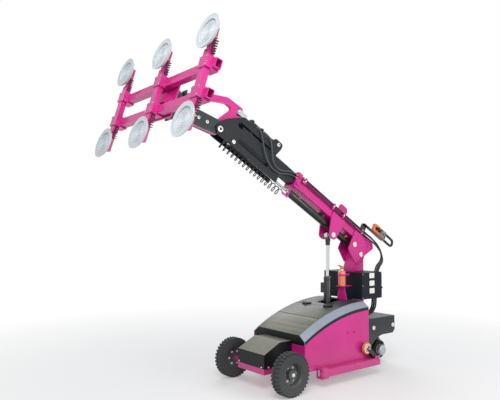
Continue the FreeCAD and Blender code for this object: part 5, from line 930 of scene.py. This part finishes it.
for ahead in CLAMPS_AT:
    stamp(clamps, side_clamp, [moved(*on_boom(CLAMP_SIDE, ahead, CLAMP_MIDDLE)) @ LEAN])
    stamp(clamps, top_clamp, [moved(*on_boom(TOP_PIPE, ahead, CLAMP_TOP)) @ LEAN])
    stamp(clamp_bolts, hex_bolt(0.014), [facing(on_boom(SIDE_BOLT, ahead, CLAMP_MIDDLE), ACROSS)])
    stamp(clamp_bolts, hex_bolt(0.012), [facing(on_boom(TOP_PIPE, ahead, TOP_BOLT), boom_up)])
piece("clamp_bolts", clamp_bolts, AS_DRAWN, white_cap, "boom")
piece("pipe_clamps", clamps, AS_DRAWN, magenta_paint, "boom", "boom_pipes")

# %% Glands and collars
STAGE_GLAND = ((14.5, 0), (38.5, 0), (41.2, 3), (41.2, 30), (38.5, 33), (24, 34), (20, 39), (14.5, 39))
STAGE_AHEAD, STAGE_ABOVE = 1.222, 0.046
ROD_COLLAR = ((19.2, 34), (27, 34), (29, 40), (29, 70), (25, 78), (25, 112), (23, 116), (19.2, 116))
LIFT_GLAND = ((19.2, 456), (30, 456), (33, 460), (41, 462), (43.6, 466), (43.6, 500), (42.1, 502),
              (19.2, 502))
lift_line = facing(joints["lift_rod_swing"]["pos_m"], joints["lift_barrel_slide"]["axis"])
for name, outline, body, place in (
        ("stage_gland", STAGE_GLAND, "boom", facing(on_boom(0, STAGE_AHEAD, STAGE_ABOVE), boom_ahead)),
        ("rod_collar", ROD_COLLAR, "lift_rod_body", lift_line),
        ("lift_gland", LIFT_GLAND, "lift_barrel_body", lift_line)):
    piece(name, lathe(outline, 48), [place], cylinder_paint, body)

# %% Unions and ports
UNION = ((6.2, 0), (9.8, 0), (9.8, 12), (8.2, 14), (8.2, 20), (6.2, 20))
HEAD_UNIONS = ((0.053, 1.8985, 0.366), (0.053, 2.0385, 0.366))
BOOM_UNIONS = ((0.071, 1.2895, 0.236), (0.071, 1.2895, 0.205))
PORTS, PORT_LOOKS = ((0.0365, 0.3, 0.06), (0.0365, 1.12, 0.06)), Vector((0.94, 0, 0.34))
FACETED = 20
union = lathe(UNION, 6)
ends = [facing(on_boom(*place), -boom_ahead) for place in HEAD_UNIONS]
piece("head_unions", union, ends, brass, "inner", smooth=FACETED)
ends = [facing(on_boom(*place), boom_ahead) for place in BOOM_UNIONS]
piece("boom_unions", union, ends, brass, "boom", smooth=FACETED)
port = prism(6, 0.014, 0.012, 0.001)
stamp(port, prism(24, 0.008, 0.03))
stamp(port, prism(6, 0.0115, 0.011, 0.001), [moved(0, 0, 0.02)])
ports = [facing(on_boom(*place), BOOM.to_3x3() @ PORT_LOOKS) for place in PORTS]
piece("stage_ports", port, ports, brass, "boom")

# %% [markdown]
# ## Corners of the hood
# Below the sloping trims, a small corner plate on each side closes the hood's front face, and another its
# rear.

# %% Corner plates
CORNER_INNER, CORNER_OUTER, CORNER_THICK = 0.3215, 0.3825, 0.006
CORNER_ENDS = ((0.85, 0.6605, 0.7135, 0.76), (-0.096, 0.4245, 0.4585, 0.505))
corners = bmesh.new()
for sign in SIDES:
    for y, bottom, outer_top, inner_top in CORNER_ENDS:
        outline = [corners.verts.new((sign * x, y, z)) for x, z in
                   ((CORNER_INNER, bottom), (CORNER_OUTER, bottom), (CORNER_OUTER, outer_top),
                    (CORNER_INNER, inner_top))]
        sheet = bmesh.ops.extrude_face_region(corners, geom=[corners.faces.new(outline)])
        back_side = [part for part in sheet["geom"] if isinstance(part, bmesh.types.BMVert)]
        bmesh.ops.translate(corners, vec=(0, CORNER_THICK, 0), verts=back_side)
piece("corner_plates", corners, AS_DRAWN, hood_lacquer, "chassis")

# %% [markdown]
# ## Seam of the lid
# The photograph shows a dark seam across the lid. A flat strip stands for it, square to the machine, on the
# same arc as the lid's sheet.

# %% Lid seam
HOOD_RADIUS, HOOD_REAR, HOOD_TOP = 1.927, 0.862, 0.77
SEAM_AT, SEAM_SIZE = 0.19, (0.628, 0.007, 0.003)
slope = math.asin((HOOD_REAR - SEAM_AT) / HOOD_RADIUS)
seam_out = Vector((0, -math.sin(slope), math.cos(slope)))
seam_place = Vector((0, HOOD_REAR, HOOD_TOP - HOOD_RADIUS)) + seam_out * HOOD_RADIUS
piece("lid_seam", block(SEAM_SIZE, 0.0008), [facing(seam_place, seam_out)], inner_dark, "hood_lid")

# %% [markdown]
# ## Fire extinguisher
# A small aluminium bottle is deep-drawn, so its shoulder is one smooth curve into the neck. It is painted,
# and its valve is a brass block with a gauge.

# %% Extinguisher
BOTTLE_PLACE = moved(0.101, 0.765, 0)
BOTTLE = ((0, 926.2), (34, 926.2), (34.5, 925.2), (38.5, 925.6), (41.2, 929), (42, 935), (42, 1065),
          (41.2, 1073), (38, 1083), (31, 1091), (21, 1095), (16, 1096.5), (0, 1096.5))
COLLAR = ((0, 1094), (19, 1094), (20, 1096), (20, 1105), (17, 1109), (0, 1109))
GAUGE = ((0, 0), (11, 0), (11, 4), (9.5, 5), (8.5, 4), (0, 4))
VALVE_HEIGHT, VALVE_HALF = 1.124, 0.016
valve = bmesh.new()
stamp(valve, block((2 * VALVE_HALF, 2 * VALVE_HALF, 0.03), 0.004, 3), [moved(0, 0, VALVE_HEIGHT)])
stamp(valve, lathe(GAUGE, 32), [facing((VALVE_HALF, 0, VALVE_HEIGHT), ACROSS)])
for name, shape, material, slot in (("painted_bottle", lathe(BOTTLE), bottle_salmon, "bottle_paint"),
                                    ("bottle_collar", lathe(COLLAR, 48), sign_white, "white_plate"),
                                    ("bottle_valve", valve, brass, "alloy")):
    piece(name, shape, [BOTTLE_PLACE], material, "chassis", "extinguisher_bottle")

# %% [markdown]
# ## Remote control
# The operator lifts the remote off its cradle and walks beside the load. The case is moulded orange plastic
# in two halves, with a grey key panel, two joysticks in rubber bellows and a black loop to hold it by.


# %% Remote case
def boom_block(right, left, rear, front, low, high, edge, steps=2):
    """A rounded block between limits in the boom's frame."""
    bm = block((left - right, front - rear, high - low), edge, steps)
    middle = on_boom((right + left) / 2, (rear + front) / 2, (low + high) / 2)
    bmesh.ops.transform(bm, matrix=moved(*middle) @ LEAN, verts=bm.verts)
    return bm


def remote_piece(name, shape, places, material, smooth=35):
    piece(name, shape, places, material, "boom", "remote_control", smooth)


CASE_LEFT, CASE_RIGHT, CASE_ROUND, CASE_STEPS = 0.096, 0.04, 0.016, 5
CASE_MIDDLE, SEAM_SHARE = (CASE_LEFT + CASE_RIGHT) / 2, 0.06
case = boom_block(CASE_RIGHT, CASE_LEFT, -0.29, -0.05, 0.342, 0.452, CASE_ROUND, CASE_STEPS)
remote_piece("remote_case", case, AS_DRAWN, remote_orange)
seam = boom_block(CASE_RIGHT, CASE_LEFT, -0.2906, -0.0494, 0.3414, 0.4526, CASE_ROUND, CASE_STEPS)
for vertex in seam.verts:
    vertex.co.x = CASE_MIDDLE + (vertex.co.x - CASE_MIDDLE) * SEAM_SHARE
remote_piece("case_seam", seam, AS_DRAWN, black_plastic)

# %% Keys, bellows, cradle and loop
PANEL_LEFT, BELLOWS_AHEAD, BELLOWS_ABOVE = 0.102, (-0.085, -0.137), 0.397
KEYS_AHEAD, KEYS_ABOVE = (-0.26, -0.18), (0.372, 0.397, 0.422)
KEY = ((0, 0), (6.8, 0), (6.8, 2.2), (6, 3.4), (0, 3.6))
BELLOWS = ((15, 0), (23, 0), (23, 6), (21.5, 9), (17.5, 9), (18.5, 11), (14, 12), (15, 14), (10.5, 15),
           (9.5, 13), (15, 7))
LOOP = ((-0.282, 0.357), (-0.34, 0.357), (-0.412, 0.357), (-0.448, 0.362), (-0.462, 0.397), (-0.448, 0.432),
        (-0.412, 0.437), (-0.34, 0.437), (-0.282, 0.437))
LOOP_THICK, LOOP_STEPS = 0.03, 10
panel = boom_block(0.094, PANEL_LEFT, -0.275, -0.165, 0.354, 0.44, 0.0028, 3)
remote_piece("key_panel", panel, AS_DRAWN, remote_grey)
keys = [facing(on_boom(PANEL_LEFT, ahead, above), ACROSS) for ahead in KEYS_AHEAD for above in KEYS_ABOVE]
remote_piece("panel_keys", lathe(KEY, 28), keys, black_plastic)
feet = [facing(on_boom(CASE_LEFT, ahead, BELLOWS_ABOVE), ACROSS) for ahead in BELLOWS_AHEAD]
remote_piece("stick_bellows", lathe(BELLOWS, 40), feet, black_plastic)
cradle = boom_block(0.044, 0.096, -0.27, 0.13, 0.336, 0.342, 0.0012)
stamp(cradle, boom_block(0.044, 0.07, 0.06, 0.13, 0.268, 0.337, 0.0012))
remote_piece("cradle", cradle, AS_DRAWN, cylinder_paint)
loop = closed_tube([on_boom(CASE_MIDDLE, ahead, above) for ahead, above in LOOP], LOOP_THICK, LOOP_STEPS)
remote_piece("carry_loop", loop, AS_DRAWN, grip_rubber, HOSE_SMOOTH)

# %% [markdown]
# ## Hose glands
# Where a hose goes through sheet metal it needs a gland, or the edge would cut it. The hoses below the box
# leave through screwed glands. The bundle from the boom drops through a wide opening in the box's lid.

# %% Glands on the box
BOX_GLAND = ((10.2, 0), (15.5, 0), (15.5, 8), (14.5, 9.5), (13.5, 16), (11.8, 19), (10.2, 19))
GLANDS = ((0.174, 1.195, 0.779), (0.2, 1.195, 0.779), (0.226, 1.195, 0.779))
places = [facing(place, (0, 0, -1)) for place in GLANDS]
piece("box_glands", lathe(BOX_GLAND, 6), places, black_plastic, "chassis", smooth=FACETED)

# %% [markdown]
# ## Floor
# The floor is a wide pale disc. Near the machine it is mostly plain and takes the soft shadow. Further out
# it fades to the surround's white, but only for the rays that look at it or mirror it, so it adds no light.

# %% Floor
FLOOR_RADIUS, FLOOR_FADE, FLOOR_GLOW = 16, (1.2, 5.5), (0.3, 1.0)
bpy.ops.mesh.primitive_circle_add(vertices=128, radius=FLOOR_RADIUS, fill_type="NGON")
floor = bpy.context.object
floor.name = "floor"
recipe = Recipe("floor_white")
distance = recipe.node("VectorMath")
distance.operation = "LENGTH"
recipe.link(recipe.coords, distance.inputs[0])
share = recipe.between(distance.outputs["Value"], *FLOOR_GLOW, *FLOOR_FADE)
rays = recipe.node("LightPath")
for kind in ("Is Diffuse Ray", "Is Shadow Ray"):
    share = recipe.calculate("SUBTRACT", share, rays.outputs[kind])
glow = recipe.node("Emission")
blend = recipe.node("MixShader")
set_inputs(recipe.shader, Base_Color=(0.86, 0.86, 0.86, 1), Roughness=0.8, Specular_IOR_Level=0.2)
recipe.link(share, blend.inputs["Fac"])
recipe.link(recipe.shader.outputs["BSDF"], blend.inputs[1])
recipe.link(glow.outputs["Emission"], blend.inputs[2])
recipe.link(blend.outputs["Shader"], recipe.tree.nodes["Material Output"].inputs["Surface"])
floor.data.materials.append(recipe.material)
print("floor radius:", FLOOR_RADIUS, "m")
